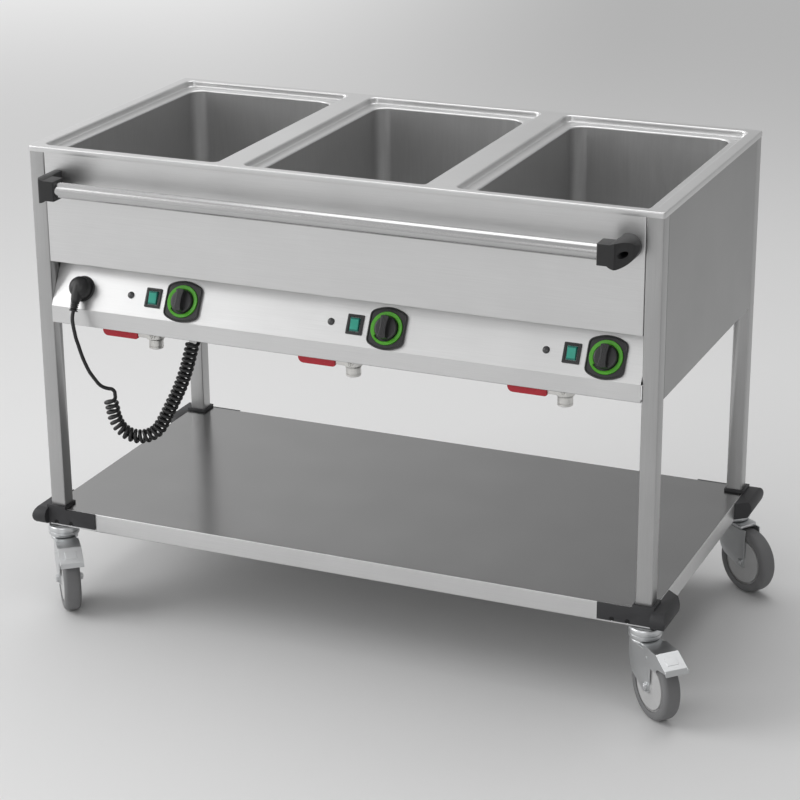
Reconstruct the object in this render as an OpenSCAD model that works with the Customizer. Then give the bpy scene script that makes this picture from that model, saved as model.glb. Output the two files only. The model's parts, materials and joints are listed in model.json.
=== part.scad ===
// Three-well heated serving trolley with lower shelf, drain taps, braked castors and curly cord.
// Origin on the floor under the middle of the deck, +X to the right, -Y to the front, +Z up.

/* [Deck] */
// Width of the deck over its turned-down rim
deck_w = 1195; // [1180:5:1260]
// Depth of the deck over its turned-down rim
deck_d = 594; // [590:1:640]
// Height of the deck above the floor
deck_z = 900; // [860:5:950]
// Height of the turned-down rim
rim_h = 10; // [8:1:16]
// Thickness of the sheet steel
sheet_t = 1.2; // [1:0.1:1.5]
// Width of the deck's strip outside the end recesses
edge_strip = 22.5; // [21:0.5:30]
// Width of the deck's strip between two recesses
divider_w = 50; // [44:1:60]
// Width of the deck's strips in front of and behind the recesses
front_strip = 19; // [18:0.5:30]

/* [Wells] */
// Width of the ledge round a well's mouth
ledge_w = 23; // [20:1:30]
// Depth of a well below its ledge
well_deep = 200; // [150:5:210]
// Radius of a well's upright corners
well_r = 28; // [15:1:40]
// Radius of the corners of the sunk recess that takes the pan's rim
recess_r = 14; // [8:1:20]
// Depth of the recess below the deck
recess_drop = 12; // [9:1:16]

/* [Frame] */
// Side of the square leg tube
leg_s = 30; // [26:1:32]
// Wall of the leg tube
leg_wall = 1.5; // [1:0.1:2.5]
// Height of the heated body, from the deck down to its lower edge
body_h = 331; // [320:1:340]
// How far the lower shelf stands out past the deck at each end
shelf_end = 2; // [0.5:0.5:8]
// How far the lower shelf stands out past the deck at the front and back
shelf_front = 2.5; // [1:0.5:8]
// Height of the shelf's turned-down lip
shelf_lip = 36; // [30:1:36]
// Thickness of the plastic pad between leg and shelf
pad_t = 5.5; // [3:0.5:10]

/* [Controls] */
// Angle by which the control slope leans back from upright
lean_deg = 28.4; // [22:0.2:32]
// Height of the upright lip below the slope
lip_h = 33; // [28:1:36]
// How far the lip stands in front of the legs
lip_out = 4.2; // [2:0.2:8]
// Distance of the controls up the slope from its lower fold
control_s = 38; // [36:1:42]
// Distance of a thermostat to the right of its well's middle
knob_off = 100; // [90:1:110]
// Distance of a switch to the right of its well's middle
switch_off = 38.5; // [34:0.5:42]
// Distance of a pilot lamp to the left of its well's middle
lamp_off = 7.6; // [4:0.1:20]
// Width of a thermostat's surround
bezel_w = 70; // [64:1:74]
// Height of a thermostat's surround
bezel_h = 76; // [70:1:78]
// Diameter of the green ring
ring_d = 59; // [54:1:61]
// Diameter of a thermostat knob
knob_d = 42; // [36:1:44]
// Height of a knob above its surround
knob_h = 19; // [15:1:24]
// Width of a rocker switch's frame
switch_w = 31; // [28:1:33]
// Height of a rocker switch's frame
switch_h = 36; // [33:1:40]
// Diameter of a pilot lamp's lens
lamp_d = 10.5; // [8:0.5:13]

/* [Taps] */
// Distance of a tap to the right of its well's middle
tap_off = 9; // [0:1:20]
// Distance of a tap behind the front wall of its well
tap_in = 27.5; // [26:0.5:34]
// Distance of a tap's lever spindle below the body's lower edge
tap_drop = 19; // [17:0.5:23]
// Diameter of a tap's outlet
outlet_d = 27.5; // [25:0.5:30]
// Diameter of the outlet's inner bore
outlet_bore = 20; // [18:0.5:21]
// Radius of the tap's ball
ball_r = 11; // [10:0.5:11.5]
// Length of a lever from its spindle to the end of its grip
lever_l = 98; // [85:1:110]
// Length of the red grip
grip_l = 73; // [60:1:75]
// Height of the red grip
grip_h = 21; // [16:0.5:24]

/* [Handle] */
// Diameter of the handle's tube
handle_d = 28; // [24:1:29]
// Distance of the handle below the deck's top
handle_drop = 60; // [50:1:70]
// Distance of the handle's middle in front of the panel
handle_out = 54.7; // [50:0.1:62]
// Distance from a leg's inner face to a bracket's inner end
bracket_in = 60.3; // [57:0.1:76]

/* [Castors] */
// Diameter of a castor wheel
wheel_d = 125; // [118:1:126]
// Width of a castor wheel
wheel_w = 32; // [28:1:33]
// Offset of the wheel's axle from the swivel's axis
trail = 43; // [40:1:46]
// Height of a castor's swivel head above its fork
head_h = 22.5; // [18:0.5:28]
// Diameter of the castor's head
head_d = 59; // [54:1:62]
// Diameter of the wheel's hub under its tyre
hub_d = 92; // [84:1:98]

/* [Cord] */
// Diameter of the cord
cord_d = 7.2; // [6:0.1:7.2]
// Mean radius of the curls
curl_r = 10.1; // [10:0.1:11]
// Number of full curls
curls = 30; // [24:1:30]
// Diameter of the plug's body
plug_d = 43; // [40:1:46]

/* [Hidden] */

// Sides of polygons that stand for circles, and the overrun of every cut
$fn = 64;
hex_sides = 6;
overrun = 1;
// Clearances: a shaft in its hole, two faces that slide, a bolt in a plain hole
run_gap = 0.05;
face_gap = 0.3;
bolt_gap = 0.2;

// Sizes and places of the three wells, from left to right, which share the deck evenly
wells = 3;
recess_w = (deck_w - 2 * edge_strip - (wells - 1) * divider_w) / wells;
recess_l = deck_d - 2 * front_strip;
well_w = recess_w - 2 * ledge_w;
well_l = recess_l - 2 * ledge_w;
well_pitch = recess_w + divider_w;
well_x = [-well_pitch, 0, well_pitch];
corners = [[-1, -1], [1, -1], [-1, 1], [1, 1]];
ledge_z = deck_z - recess_drop;
deck_under = deck_z - sheet_t;
tank_low = ledge_z - well_deep - sheet_t;
tank_flange = 10;
drain_r = 7.5;

// Leg axes, and the faces that the panels line up with
leg_x = deck_w / 2 - sheet_t - leg_s / 2;
leg_y = deck_d / 2 - sheet_t - leg_s / 2;
face_x = leg_x + leg_s / 2;
face_y = leg_y + leg_s / 2;
gap_x = leg_x - leg_s / 2;
gap_y = leg_y - leg_s / 2;

// Heights of the castors and of the shelf that stands on them
crown_t = 7;
crown_room = 4;
crown_top = wheel_d + crown_room + crown_t;
castor_h = crown_top + head_h;
head_gap = 0.5;
shelf_z = castor_h + head_gap + shelf_lip;
shelf_w = deck_w + 2 * shelf_end;
shelf_d = deck_d + 2 * shelf_front;
leg_low = shelf_z + pad_t;
leg_plug = 26;
stud_r = 6;
stud_up = 24;

// Body panels and the folded control panel
body_z = deck_z - body_h;
front_lap = 1.3;
front_low = tank_low - front_lap;
fold_z = body_z + lip_h;
lip_y = -(face_y + lip_out);
slope_top = tank_low - face_gap - sheet_t;
slope_y = lip_y + (slope_top - fold_z) * tan(lean_deg);
slope_wall = sheet_t / cos(lean_deg);
fold_in = (sheet_t - slope_wall) / tan(lean_deg);
tray_up = 31;
tray_z = body_z + tray_up;
tap_y = well_l / 2 - tap_in;
tap_z = body_z - tap_drop;
pipe_hole_r = 13;

// Heating element bonded under each well
heater_w = 220;
heater_l = 340;
heater_t = 4;
heater_y = 40;
heater_rod_r = 4;
heater_span = 120;
heater_end = 26;
heater_pin_r = 2;

// Shelf, its castor posts, return flange and the seats pressed in for the corner pads
shelf_fold = 8;
seat_t = 0.3;
post_wall = 1.5;

// Corner bumper: side block, bull nose, front plate
bump_low = 32;
bump_w = 22;
bump_bulge = 5.5;
bump_arc = (bump_low * bump_low / 4 + bump_bulge * bump_bulge) / (2 * bump_bulge);
bump_start = 92.5;
bump_cut = 23;
nose_in = 2.5;
plate_t = 3;
plate_l = 100;
plate_low = 1;
pad_s = 33;
pad_over = 3;
bump_screw_z = 27;
bump_screws_a = [44, 72.5];
bump_screws_b = [16.5, 48];
screw_r = 2;
screw_head_r = 4;
screw_head_t = 1.4;
screw_l = 10;
counterbore = 1.8;

// Handle bracket: front block, slanted arm and rounded foot
handle_z = deck_z - handle_drop;
bracket_x = gap_x - bracket_in;
block_mid_y = -face_y - handle_out;
block_w = 31;
block_t = 34;
block_h = 36;
foot_w = 30;
foot_step = 24;
foot_x = bracket_x + foot_step;
bracket_screw_x = foot_x + foot_w / 2;
foot_r = 22;
foot_drop = 1.5;
arm_bend = 12;
tube_wall = 1.5;
socket_deep = 22;
bracket_screw_r = 2.5;
bracket_head_r = 4.5;
bracket_head_t = 3;
bracket_pocket_r = 5.8;
bracket_floor = 8;
bracket_screw_l = 22;

// Thermostat, surround, ring and knob, measured out from the slope
bezel_t = 4;
bezel_arc = 60;
bezel_r = 12;
bezel_lip_w = 3.2;
bezel_lip_t = 2;
ring_w = 7;
ring_t = 4.6;
ring_sunk = 2;
bush_r = 5;
shaft_r = 3;
shaft_l = 16;
stat_w = 36;
stat_h = 30;
stat_t = 26;
knob_skirt = 8;
knob_bar_w = 11;

// Rocker switch
lens_w = 18.4;
rocker_r = 12.4;
rocker_low = 6;
rocker_end = 4.6;
rocker_mid = 3.4;
rocker_tilt = 7;
pivot_up = 0.8;
pivot_r = 1.5;
pivot_l = 1.6;
switch_t = 2.4;
switch_body_w = 24;
switch_body_h = 28;
switch_body_t = 19;
switch_pocket = 13;

// Pilot lamp
lamp_ring_w = 1.2;
lamp_ring_t = 1.4;
lamp_up = 3.2;
lamp_body_r = 4.4;
lamp_body_l = 18;

// Tap body, ball, stem and lever
pipe_r = 10.65;
pipe_flange_r = 17;
pipe_flange_t = 3;
tap_body_r = 17;
tap_body_up = 12;
tap_nut_r = 15.6;
tap_nut_t = 15;
outlet_low = 30;
outlet_deep = 14;
ball_gap = 0.1;
stem_r = 4;
boss_r = 8;
boss_out = 19.5;
lever_t = 2.5;
lever_neck = 12;
lever_eye_r = 9;
lever_nut_r = 7;
lever_nut_t = 5;
stem_over = 1.5;
grip_t = 9;
grip_in = 60;

// Plug in its parking socket, and the gland under the tray
plug_in = 58.3;
plug_x = plug_in - gap_x;
plug_t = 28;
socket_ring_t = 1.5;
socket_ring_r = 24;
socket_r = 20;
socket_t = 22;
pin_r = 2.4;
pin_l = 19;
pin_off = 9.5;
tail_out = 19;
tail_end = 46;
tail_r = 6.5;
tail_flare_r = 9.2;
tail_flare_t = 4;
gland_off = [220, 59];
gland_x = plug_x + gland_off[0];
gland_y = lip_y + gland_off[1];
gland_r = 9;
gland_low = 22;
gland_nut_r = 12;
gland_nut_t = 6;
gland_up = 9;
gland_thread_r = 7;

// Castor fork, axle and brake, measured from the swivel axis and the floor
axle_z = wheel_d / 2;
crown_r = 26;
crown_end = 42;
fork_in = 17.8;
fork_wall = 2.5;
fork_end = 52;
kingpin_r = 6;
kingnut_r = 10;
kingnut_t = 7.4;
axle_r = 4;
axle_head_r = 7.5;
axle_head_t = 5;
hub_boss_r = 12;
hub_web_t = 8;
hub_rim_t = 6;
hub_rim_w = 28;
tyre_r = 7;
cheek_back = 20.8;
cheek_drop = 35;
cheek_low = 12;
head_foot_r = head_d / 2 - 3.7;
head_top_r = head_d / 2 - 2.5;
head_bevel = 5.5;
pedal_t = 44;
pedal_z = crown_top - 18;
pedal_in = 20.8;
pedal_wall = 1.5;
pedal_top = crown_top + face_gap;
pedal_rivet_r = 3;
pedal_rivet_out = 1.2;
pad_gap = 4.5;
pad_half_w = 10;
// Pedal's cheek, tread plate and pad from the side, out from the swivel axis and up from its top
pedal_cheek = [
    [34, 0], [34, -24.3], [40, -32.3], [72, -33.3], [82, -24.3],
    [112, -20.3], [114, -17.8], [80, -1.3], [75, 0]
];
pedal_plate = [
    [34, 0], [75, 0], [108, -17.8], [113, -25.3],
    [118, -24.8], [110, -15.3], [76, pedal_wall], [34, pedal_wall]
];
pedal_pad = [[62, -26.3], [78, -26.3], [78, -1], [62, 1]];

// Swivel angle of each castor as it stands, in the order of the corners
castor_turn = [-52, -43, 140, -32];

// The cord's points are measured from the plug's middle, the lip's face and the body's lower edge
cord_at = [plug_x, lip_y, body_z];
// Route of the straight cord from the plug to the coil, chosen by hand
lead_route = [
    [0, -20.5, 35], [0, -24, 28.5], [1, -27, 21], [3, -29, 12],
    [6, -30.5, 0], [9, -31.5, -12], [13, -31.5, -24], [17, -31, -38],
    [21, -30, -51], [25.5, -27.5, -65], [30, -25, -77], [34, -21.5, -86],
    [37.5, -18, -94]
];
// Hook from the straight cord over the top of the coil, chosen by hand
hook_route = [
    [37.5, -18, -94], [40.7, -14.8, -101], [44.5, -10, -107.5],
    [49, -4.5, -112], [54, 0, -114.5], [59, 3, -116], [63.2, 4.4, -120.5]
];
// Middle line of the coil in its upright plane, chosen by hand as x and z
coil_line = [
    [53, -122], [55, -133], [58.5, -152], [61.5, -170], [69, -188], [83, -202],
    [101, -208], [120, -205], [136, -194], [146, -178], [155, -160], [166, -137],
    [177, -113], [186, -89], [193.5, -65], [199.5, -41], [204.5, -21], [207.5, -9]
];
// Short stretch from the coil's upper end to the gland, chosen by hand
tail_route = [
    [216.7, 57.9, -9.5], [218.4, 58.5, -4.5], [219.5, 58.8, -0.5],
    [gland_off[0], gland_off[1], 3.5], [gland_off[0], gland_off[1], tray_up - gland_low]
];
coil_out = -18;
coil_turn_share = 0.35;
coil_stretch_share = 0.02;
hook_share = 0.5;
hook_rise = 3;
curl_rings = 8;
curl_sides = 6;
cord_sides = 10;
line_steps = 24;
end_turn_share = 0.5;
look_ahead = 4;

// Shapes used by several pieces
module block(x1, x2, y1, y2, z1, z2) {
    translate([x1, y1, z1])
        cube([x2 - x1, y2 - y1, z2 - z1]);
}

module rod(r, z1, z2) {
    translate([0, 0, z1])
        cylinder(r = r, h = z2 - z1);
}

module rod_y(r, y1, y2) {
    translate([0, y2, 0])
        rotate([90, 0, 0])
            cylinder(r = r, h = y2 - y1);
}

module rod_x(r, x1, x2) {
    translate([x1, 0, 0])
        rotate([0, 90, 0])
            cylinder(r = r, h = x2 - x1);
}

module round_rect(w, l, r) {
    square([w - 2 * r, l], center = true);
    square([w, l - 2 * r], center = true);
    for (x = [-1, 1])
        for (y = [-1, 1])
            translate([x * (w / 2 - r), y * (l / 2 - r)])
                circle(r = r);
}

module at_corner(side) {
    mirror([side[0] < 0 ? 1 : 0, 0, 0])
        mirror([0, side[1] < 0 ? 1 : 0, 0])
            children();
}

// Local frame on the control slope: X along the trolley, Y up the slope, Z out of its face
module on_slope(x, s) {
    translate([x, lip_y + s * sin(lean_deg), fold_z + s * cos(lean_deg)])
        rotate([90 - lean_deg, 0, 0])
            children();
}

// Deck, wells and their heaters
module top_deck() {
    color("gainsboro")
        difference() {
            union() {
                difference() {
                    block(-deck_w / 2, deck_w / 2, -deck_d / 2, deck_d / 2, deck_z - rim_h, deck_z);
                    block(-face_x, face_x, -face_y, face_y, deck_z - rim_h - overrun, deck_under);
                }
                for (x = well_x)
                    translate([x, 0, ledge_z - sheet_t])
                        linear_extrude(recess_drop)
                            round_rect(recess_w + 2 * sheet_t, recess_l + 2 * sheet_t, recess_r + sheet_t);
            }
            for (x = well_x) {
                translate([x, 0, ledge_z])
                    linear_extrude(recess_drop + overrun)
                        round_rect(recess_w, recess_l, recess_r);
                translate([x, 0, ledge_z - sheet_t - overrun])
                    linear_extrude(recess_drop)
                        round_rect(well_w, well_l, well_r);
            }
        }
}

module well_tank(x) {
    color("dimgray")
        translate([x, 0, 0])
            difference() {
                union() {
                    translate([0, 0, tank_low])
                        linear_extrude(well_deep)
                            round_rect(well_w + 2 * sheet_t, well_l + 2 * sheet_t, well_r + sheet_t);
                    translate([0, 0, ledge_z - 2 * sheet_t])
                        linear_extrude(sheet_t)
                            round_rect(well_w + 2 * tank_flange, well_l + 2 * tank_flange, well_r + tank_flange);
                }
                translate([0, 0, tank_low + sheet_t])
                    linear_extrude(well_deep)
                        round_rect(well_w, well_l, well_r);
                translate([tap_off, -tap_y, 0])
                    rod(drain_r, tank_low - overrun, tank_low + sheet_t + overrun);
            }
}

module well_left() well_tank(well_x[0]);

module well_middle() well_tank(well_x[1]);

module well_right() well_tank(well_x[2]);

module heater_elements() {
    color("silver")
        for (x = well_x)
            translate([x, heater_y, tank_low])
                union() {
                    block(-heater_w / 2, heater_w / 2, -heater_l / 2, heater_l / 2, -heater_t, 0);
                    for (side = [-1, 1])
                        translate([side * heater_span / 2, 0, -heater_t]) {
                            rod_y(heater_rod_r, -heater_l / 2 - heater_end / 2, heater_l / 4);
                            rod_y(heater_pin_r, -heater_l / 2 - heater_end, 0);
                        }
                    translate([0, heater_l / 4, -heater_t])
                        rotate_extrude(angle = 180)
                            translate([heater_span / 2, 0])
                                circle(r = heater_rod_r);
                }
}

// Frame and panels
module leg(side) {
    color("silver")
        at_corner(side)
            difference() {
                block(gap_x, face_x, gap_y, face_y, leg_low, deck_under);
                block(gap_x + leg_wall, face_x - leg_wall, gap_y + leg_wall, face_y - leg_wall,
                    leg_low + leg_plug, deck_z);
                block(0, well_pitch + recess_w / 2 + sheet_t + face_gap,
                    0, recess_l / 2 + sheet_t + face_gap, ledge_z - sheet_t - face_gap, deck_z);
                translate([leg_x, leg_y, 0])
                    rod(stud_r + bolt_gap, leg_low - overrun, leg_low + leg_plug + overrun);
            }
}

module leg_front_left() leg(corners[0]);

module leg_front_right() leg(corners[1]);

module leg_rear_left() leg(corners[2]);

module leg_rear_right() leg(corners[3]);

module front_panel() {
    color("gainsboro")
        difference() {
            block(-gap_x, gap_x, -face_y, -face_y + sheet_t, front_low, deck_under);
            for (side = [-1, 1])
                translate([side * bracket_screw_x, 0, handle_z - foot_drop])
                    rod_y(bracket_screw_r + bolt_gap, -face_y - overrun, -face_y + sheet_t + overrun);
        }
}

module rear_panel() {
    color("gainsboro")
        block(-gap_x, gap_x, face_y - sheet_t, face_y, body_z, deck_under);
}

module side_panel(side) {
    color("gainsboro")
        mirror([side < 0 ? 1 : 0, 0, 0])
            block(face_x - sheet_t, face_x, -gap_y, gap_y, body_z, deck_under);
}

module side_panel_left() side_panel(-1);

module side_panel_right() side_panel(1);

module control_panel() {
    color("whitesmoke")
        difference() {
            translate([-gap_x, 0, 0])
                rotate([90, 0, 90])
                    linear_extrude(2 * gap_x)
                        polygon([
                            [lip_y, body_z], [lip_y, fold_z], [slope_y, slope_top],
                            [-face_y + sheet_t, slope_top], [-face_y + sheet_t, slope_top + sheet_t],
                            [slope_y + slope_wall + sheet_t * tan(lean_deg), slope_top + sheet_t],
                            [lip_y + sheet_t, fold_z + fold_in], [lip_y + sheet_t, body_z]
                        ]);
            for (x = well_x) {
                on_slope(x + knob_off, control_s)
                    rod(bush_r + bolt_gap, -sheet_t - overrun, overrun);
                on_slope(x + switch_off, control_s)
                    block(-switch_body_w / 2 - bolt_gap, switch_body_w / 2 + bolt_gap,
                        -switch_body_h / 2 - bolt_gap, switch_body_h / 2 + bolt_gap,
                        -sheet_t - overrun, overrun);
                on_slope(x - lamp_off, control_s)
                    rod(lamp_body_r + bolt_gap, -sheet_t - overrun, overrun);
            }
            on_slope(plug_x, control_s)
                rod(socket_r + bolt_gap, -sheet_t - overrun, overrun);
        }
}

module bottom_tray() {
    color("silver")
        difference() {
            block(-face_x + sheet_t, face_x - sheet_t, lip_y + sheet_t, face_y - sheet_t,
                tray_z, tray_z + sheet_t);
            for (side = corners)
                at_corner(side)
                    block(gap_x, face_x, gap_y, face_y + lip_out + overrun,
                        tray_z - overrun, tray_z + sheet_t + overrun);
            for (x = well_x)
                translate([x + tap_off, -tap_y, 0])
                    rod(pipe_hole_r, tray_z - overrun, tray_z + sheet_t + overrun);
            translate([gland_x, gland_y, 0])
                rod(gland_thread_r + bolt_gap, tray_z - overrun, tray_z + sheet_t + overrun);
        }
}

module lower_shelf() {
    shelf_low = shelf_z - shelf_lip;
    inner_x = shelf_w / 2 - sheet_t;
    inner_y = shelf_d / 2 - sheet_t;
    color("gainsboro")
        difference() {
            union() {
                difference() {
                    block(-shelf_w / 2, shelf_w / 2, -shelf_d / 2, shelf_d / 2, shelf_low, shelf_z);
                    block(-inner_x, inner_x, -inner_y, inner_y, shelf_low + sheet_t, shelf_z - sheet_t);
                    block(-inner_x + shelf_fold, inner_x - shelf_fold, -inner_y + shelf_fold,
                        inner_y - shelf_fold, shelf_low - overrun, shelf_z - sheet_t);
                }
                for (side = corners)
                    at_corner(side)
                        difference() {
                            block(gap_x, face_x, gap_y, face_y, castor_h, shelf_z - sheet_t);
                            block(gap_x + post_wall, face_x - post_wall, gap_y + post_wall,
                                face_y - post_wall, castor_h + sheet_t, shelf_z - sheet_t);
                        }
            }
            for (side = corners)
                at_corner(side) {
                    block(face_x - pad_s - face_gap, shelf_w / 2 + overrun, face_y - pad_s - face_gap,
                        shelf_d / 2 + overrun, shelf_z - seat_t, shelf_z + overrun);
                    translate([leg_x, leg_y, 0])
                        rod(stud_r + bolt_gap, castor_h - overrun, shelf_z + overrun);
                    for (x = side[0] * side[1] < 0 ? bump_screws_a : bump_screws_b)
                        translate([shelf_w / 2 - x, 0, shelf_z - bump_screw_z])
                            rod_y(screw_r + bolt_gap, shelf_d / 2 - screw_l, shelf_d / 2 + overrun);
                }
        }
}

module bumper(screws) {
    bump_mid = shelf_z - bump_low / 2;
    out_x = shelf_w / 2 + bump_w + bump_bulge;
    nose_y = shelf_d / 2 + nose_in;
    difference() {
        union() {
            intersection() {
                rotate([90, 0, 0])
                    translate([0, 0, -nose_y - bump_low])
                        linear_extrude(nose_y + bump_low)
                            intersection() {
                                translate([shelf_w / 2, bump_mid - bump_low])
                                    square([bump_w + bump_bulge + overrun, 2 * bump_low]);
                                translate([out_x - bump_arc, bump_mid])
                                    circle(r = bump_arc);
                            }
                rotate([90, 0, 90])
                    linear_extrude(out_x + overrun) {
                        translate([shelf_d / 2 - bump_start, bump_mid - bump_low / 2])
                            square([bump_start + nose_in, bump_low]);
                        translate([nose_y, bump_mid])
                            circle(r = bump_low / 2);
                    }
                linear_extrude(shelf_z + overrun)
                    polygon([
                        [shelf_w / 2, shelf_d / 2 - bump_start],
                        [out_x, shelf_d / 2 - bump_start + bump_cut],
                        [out_x, nose_y + bump_low], [shelf_w / 2, nose_y + bump_low]
                    ]);
            }
            block(shelf_w / 2 - plate_l, shelf_w / 2 + pad_over, shelf_d / 2, shelf_d / 2 + plate_t,
                shelf_z - bump_low + plate_low, shelf_z);
            block(face_x - pad_s, shelf_w / 2 + pad_over, face_y - pad_s, shelf_d / 2 + plate_t,
                shelf_z - seat_t, shelf_z + pad_t);
        }
        translate([leg_x, leg_y, 0])
            rod(stud_r + bolt_gap, shelf_z - seat_t - overrun, shelf_z + pad_t + overrun);
        for (x = screws)
            translate([shelf_w / 2 - x, 0, shelf_z - bump_screw_z]) {
                rod_y(screw_r + bolt_gap, shelf_d / 2 - overrun, shelf_d / 2 + plate_t + overrun);
                rod_y(screw_head_r + bolt_gap, shelf_d / 2 + plate_t - counterbore,
                    shelf_d / 2 + plate_t + overrun);
            }
    }
}

module corner_bumpers() {
    color("#303030")
        for (side = corners)
            at_corner(side)
                bumper(side[0] * side[1] < 0 ? bump_screws_a : bump_screws_b);
}

module fixing_screws() {
    head_y = shelf_d / 2 + plate_t - counterbore;
    color("silver") {
        for (side = corners)
            at_corner(side)
                for (x = side[0] * side[1] < 0 ? bump_screws_a : bump_screws_b)
                    translate([shelf_w / 2 - x, 0, shelf_z - bump_screw_z]) {
                        rod_y(screw_head_r, head_y, head_y + screw_head_t);
                        rod_y(screw_r, head_y - screw_l, head_y);
                    }
        for (side = [-1, 1])
            translate([side * bracket_screw_x, -face_y - bracket_floor, handle_z - foot_drop]) {
                rod_y(bracket_head_r, -bracket_head_t, 0);
                rod_y(bracket_screw_r, 0, bracket_screw_l);
            }
    }
}

// Handle
module handle_bar() {
    tube_end = bracket_x + socket_deep;
    color("gainsboro")
        translate([0, block_mid_y, handle_z])
            difference() {
                rod_x(handle_d / 2, -tube_end, tube_end);
                rod_x(handle_d / 2 - tube_wall, -tube_end - overrun, tube_end + overrun);
            }
}

module handle_bracket(side) {
    front_y = block_mid_y - block_t / 2;
    back_y = block_mid_y + block_t / 2;
    foot_end = foot_x + foot_w;
    color("#262626")
        mirror([side < 0 ? 1 : 0, 0, 0])
            difference() {
                intersection() {
                    linear_extrude(deck_z)
                        polygon([
                            [bracket_x, front_y + tube_wall], [bracket_x + tube_wall, front_y],
                            [bracket_x + block_w - tube_wall, front_y],
                            [bracket_x + block_w + tube_wall, front_y + 2 * tube_wall],
                            [foot_end - 2 * tube_wall, -face_y - foot_w],
                            [foot_end, -face_y - foot_w / 2], [foot_end, -face_y],
                            [foot_x, -face_y], [foot_x, back_y + arm_bend],
                            [foot_x - tube_wall, back_y + tube_wall], [bracket_x + tube_wall, back_y],
                            [bracket_x, back_y - tube_wall]
                        ]);
                    translate([0, -face_y, 0])
                        rotate([90, 0, 0])
                            linear_extrude(block_t + handle_out) {
                                polygon([
                                    [bracket_x, handle_z - block_h / 2],
                                    [bracket_x + block_w, handle_z - block_h / 2],
                                    [foot_end - foot_r, handle_z - foot_drop - foot_r],
                                    [foot_end - foot_r, handle_z - foot_drop + foot_r],
                                    [bracket_x + block_w, handle_z + block_h / 2],
                                    [bracket_x, handle_z + block_h / 2]
                                ]);
                                translate([foot_end - foot_r, handle_z - foot_drop])
                                    circle(r = foot_r);
                            }
                }
                translate([0, block_mid_y, handle_z])
                    rod_x(handle_d / 2 + run_gap, bracket_x - overrun, bracket_x + socket_deep);
                translate([bracket_screw_x, 0, handle_z - foot_drop]) {
                    rod_y(bracket_screw_r + bolt_gap, -face_y - foot_w, -face_y + overrun);
                    rod_y(bracket_pocket_r, front_y - overrun, -face_y - bracket_floor);
                }
            }
}

module handle_bracket_left() handle_bracket(-1);

module handle_bracket_right() handle_bracket(1);

// Controls on the slope
module bezel_outline(inset) {
    intersection() {
        round_rect(bezel_w - 2 * inset, bezel_h - 2 * inset, bezel_r - inset);
        translate([0, bezel_h / 2 - bezel_arc])
            circle(r = bezel_arc - inset);
        translate([0, bezel_arc - bezel_h / 2])
            circle(r = bezel_arc - inset);
    }
}

module thermostat_bezels() {
    color("#2b2b2b")
        for (x = well_x)
            on_slope(x + knob_off, control_s)
                difference() {
                    linear_extrude(bezel_t + bezel_lip_t)
                        bezel_outline(0);
                    translate([0, 0, bezel_t])
                        linear_extrude(bezel_lip_t + overrun)
                            bezel_outline(bezel_lip_w);
                    difference() {
                        rod(ring_d / 2 + bolt_gap, bezel_t - ring_sunk, bezel_t + bezel_lip_t + overrun);
                        rod(ring_d / 2 - ring_w - bolt_gap, 0, bezel_t);
                    }
                    rod(bush_r + bolt_gap, -overrun, bezel_t + overrun);
                }
}

module glow_rings() {
    color("yellowgreen")
        for (x = well_x)
            on_slope(x + knob_off, control_s)
                difference() {
                    rod(ring_d / 2, bezel_t - ring_sunk, bezel_t - ring_sunk + ring_t);
                    rod(ring_d / 2 - ring_w, 0, bezel_t + ring_t);
                }
}

module thermostats() {
    color("lightgray")
        for (x = well_x)
            on_slope(x + knob_off, control_s)
                difference() {
                    union() {
                        block(-stat_w / 2, stat_w / 2, -stat_h / 2, stat_h / 2, -sheet_t - stat_t, -sheet_t);
                        rod(bush_r, -sheet_t - stat_t, bezel_t - face_gap);
                    }
                    rod(shaft_r + run_gap, bezel_t - shaft_l - face_gap, bezel_t + overrun);
                }
}

module knob(x) {
    foot = bezel_t + face_gap;
    color("#1c1c1c")
        on_slope(x + knob_off, control_s)
            union() {
                rod(knob_d / 2, foot, foot + knob_skirt);
                intersection() {
                    rod(knob_d / 2, foot, foot + knob_h);
                    block(-knob_bar_w / 2, knob_bar_w / 2, -knob_d / 2, knob_d / 2, foot, foot + knob_h);
                }
                rod(shaft_r, bezel_t - shaft_l, foot);
            }
}

module knob_left() knob(well_x[0]);

module knob_middle() knob(well_x[1]);

module knob_right() knob(well_x[2]);

module switch_frames() {
    pocket_h = 2 * (rocker_r + face_gap);
    pocket_w = lens_w + 2 * face_gap;
    color("#242424")
        for (x = well_x)
            on_slope(x + switch_off, control_s)
                difference() {
                    union() {
                        block(-switch_w / 2, switch_w / 2, -switch_h / 2, switch_h / 2, 0, switch_t);
                        block(-switch_body_w / 2, switch_body_w / 2, -switch_body_h / 2, switch_body_h / 2,
                            -switch_body_t, 0);
                    }
                    block(-pocket_w / 2, pocket_w / 2, -pocket_h / 2, pocket_h / 2,
                        switch_t - switch_pocket, switch_t + overrun);
                    translate([0, 0, pivot_up])
                        rod_x(pivot_r + run_gap, -lens_w / 2 - pivot_l - face_gap,
                            lens_w / 2 + pivot_l + face_gap);
                }
}

module rocker(x) {
    color("lightseagreen")
        on_slope(x + switch_off, control_s)
            translate([0, 0, pivot_up])
                rotate([rocker_tilt, 0, 0])
                    union() {
                        translate([-lens_w / 2, 0, 0])
                            rotate([90, 0, 90])
                                linear_extrude(lens_w)
                                    intersection() {
                                        circle(r = rocker_r);
                                        polygon([
                                            [-rocker_r, -rocker_low], [rocker_r, -rocker_low],
                                            [rocker_r, rocker_end], [0, rocker_mid],
                                            [-rocker_r, rocker_end]
                                        ]);
                                    }
                        rod_x(pivot_r, -lens_w / 2 - pivot_l, lens_w / 2 + pivot_l);
                    }
}

module rocker_left() rocker(well_x[0]);

module rocker_middle() rocker(well_x[1]);

module rocker_right() rocker(well_x[2]);

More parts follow.
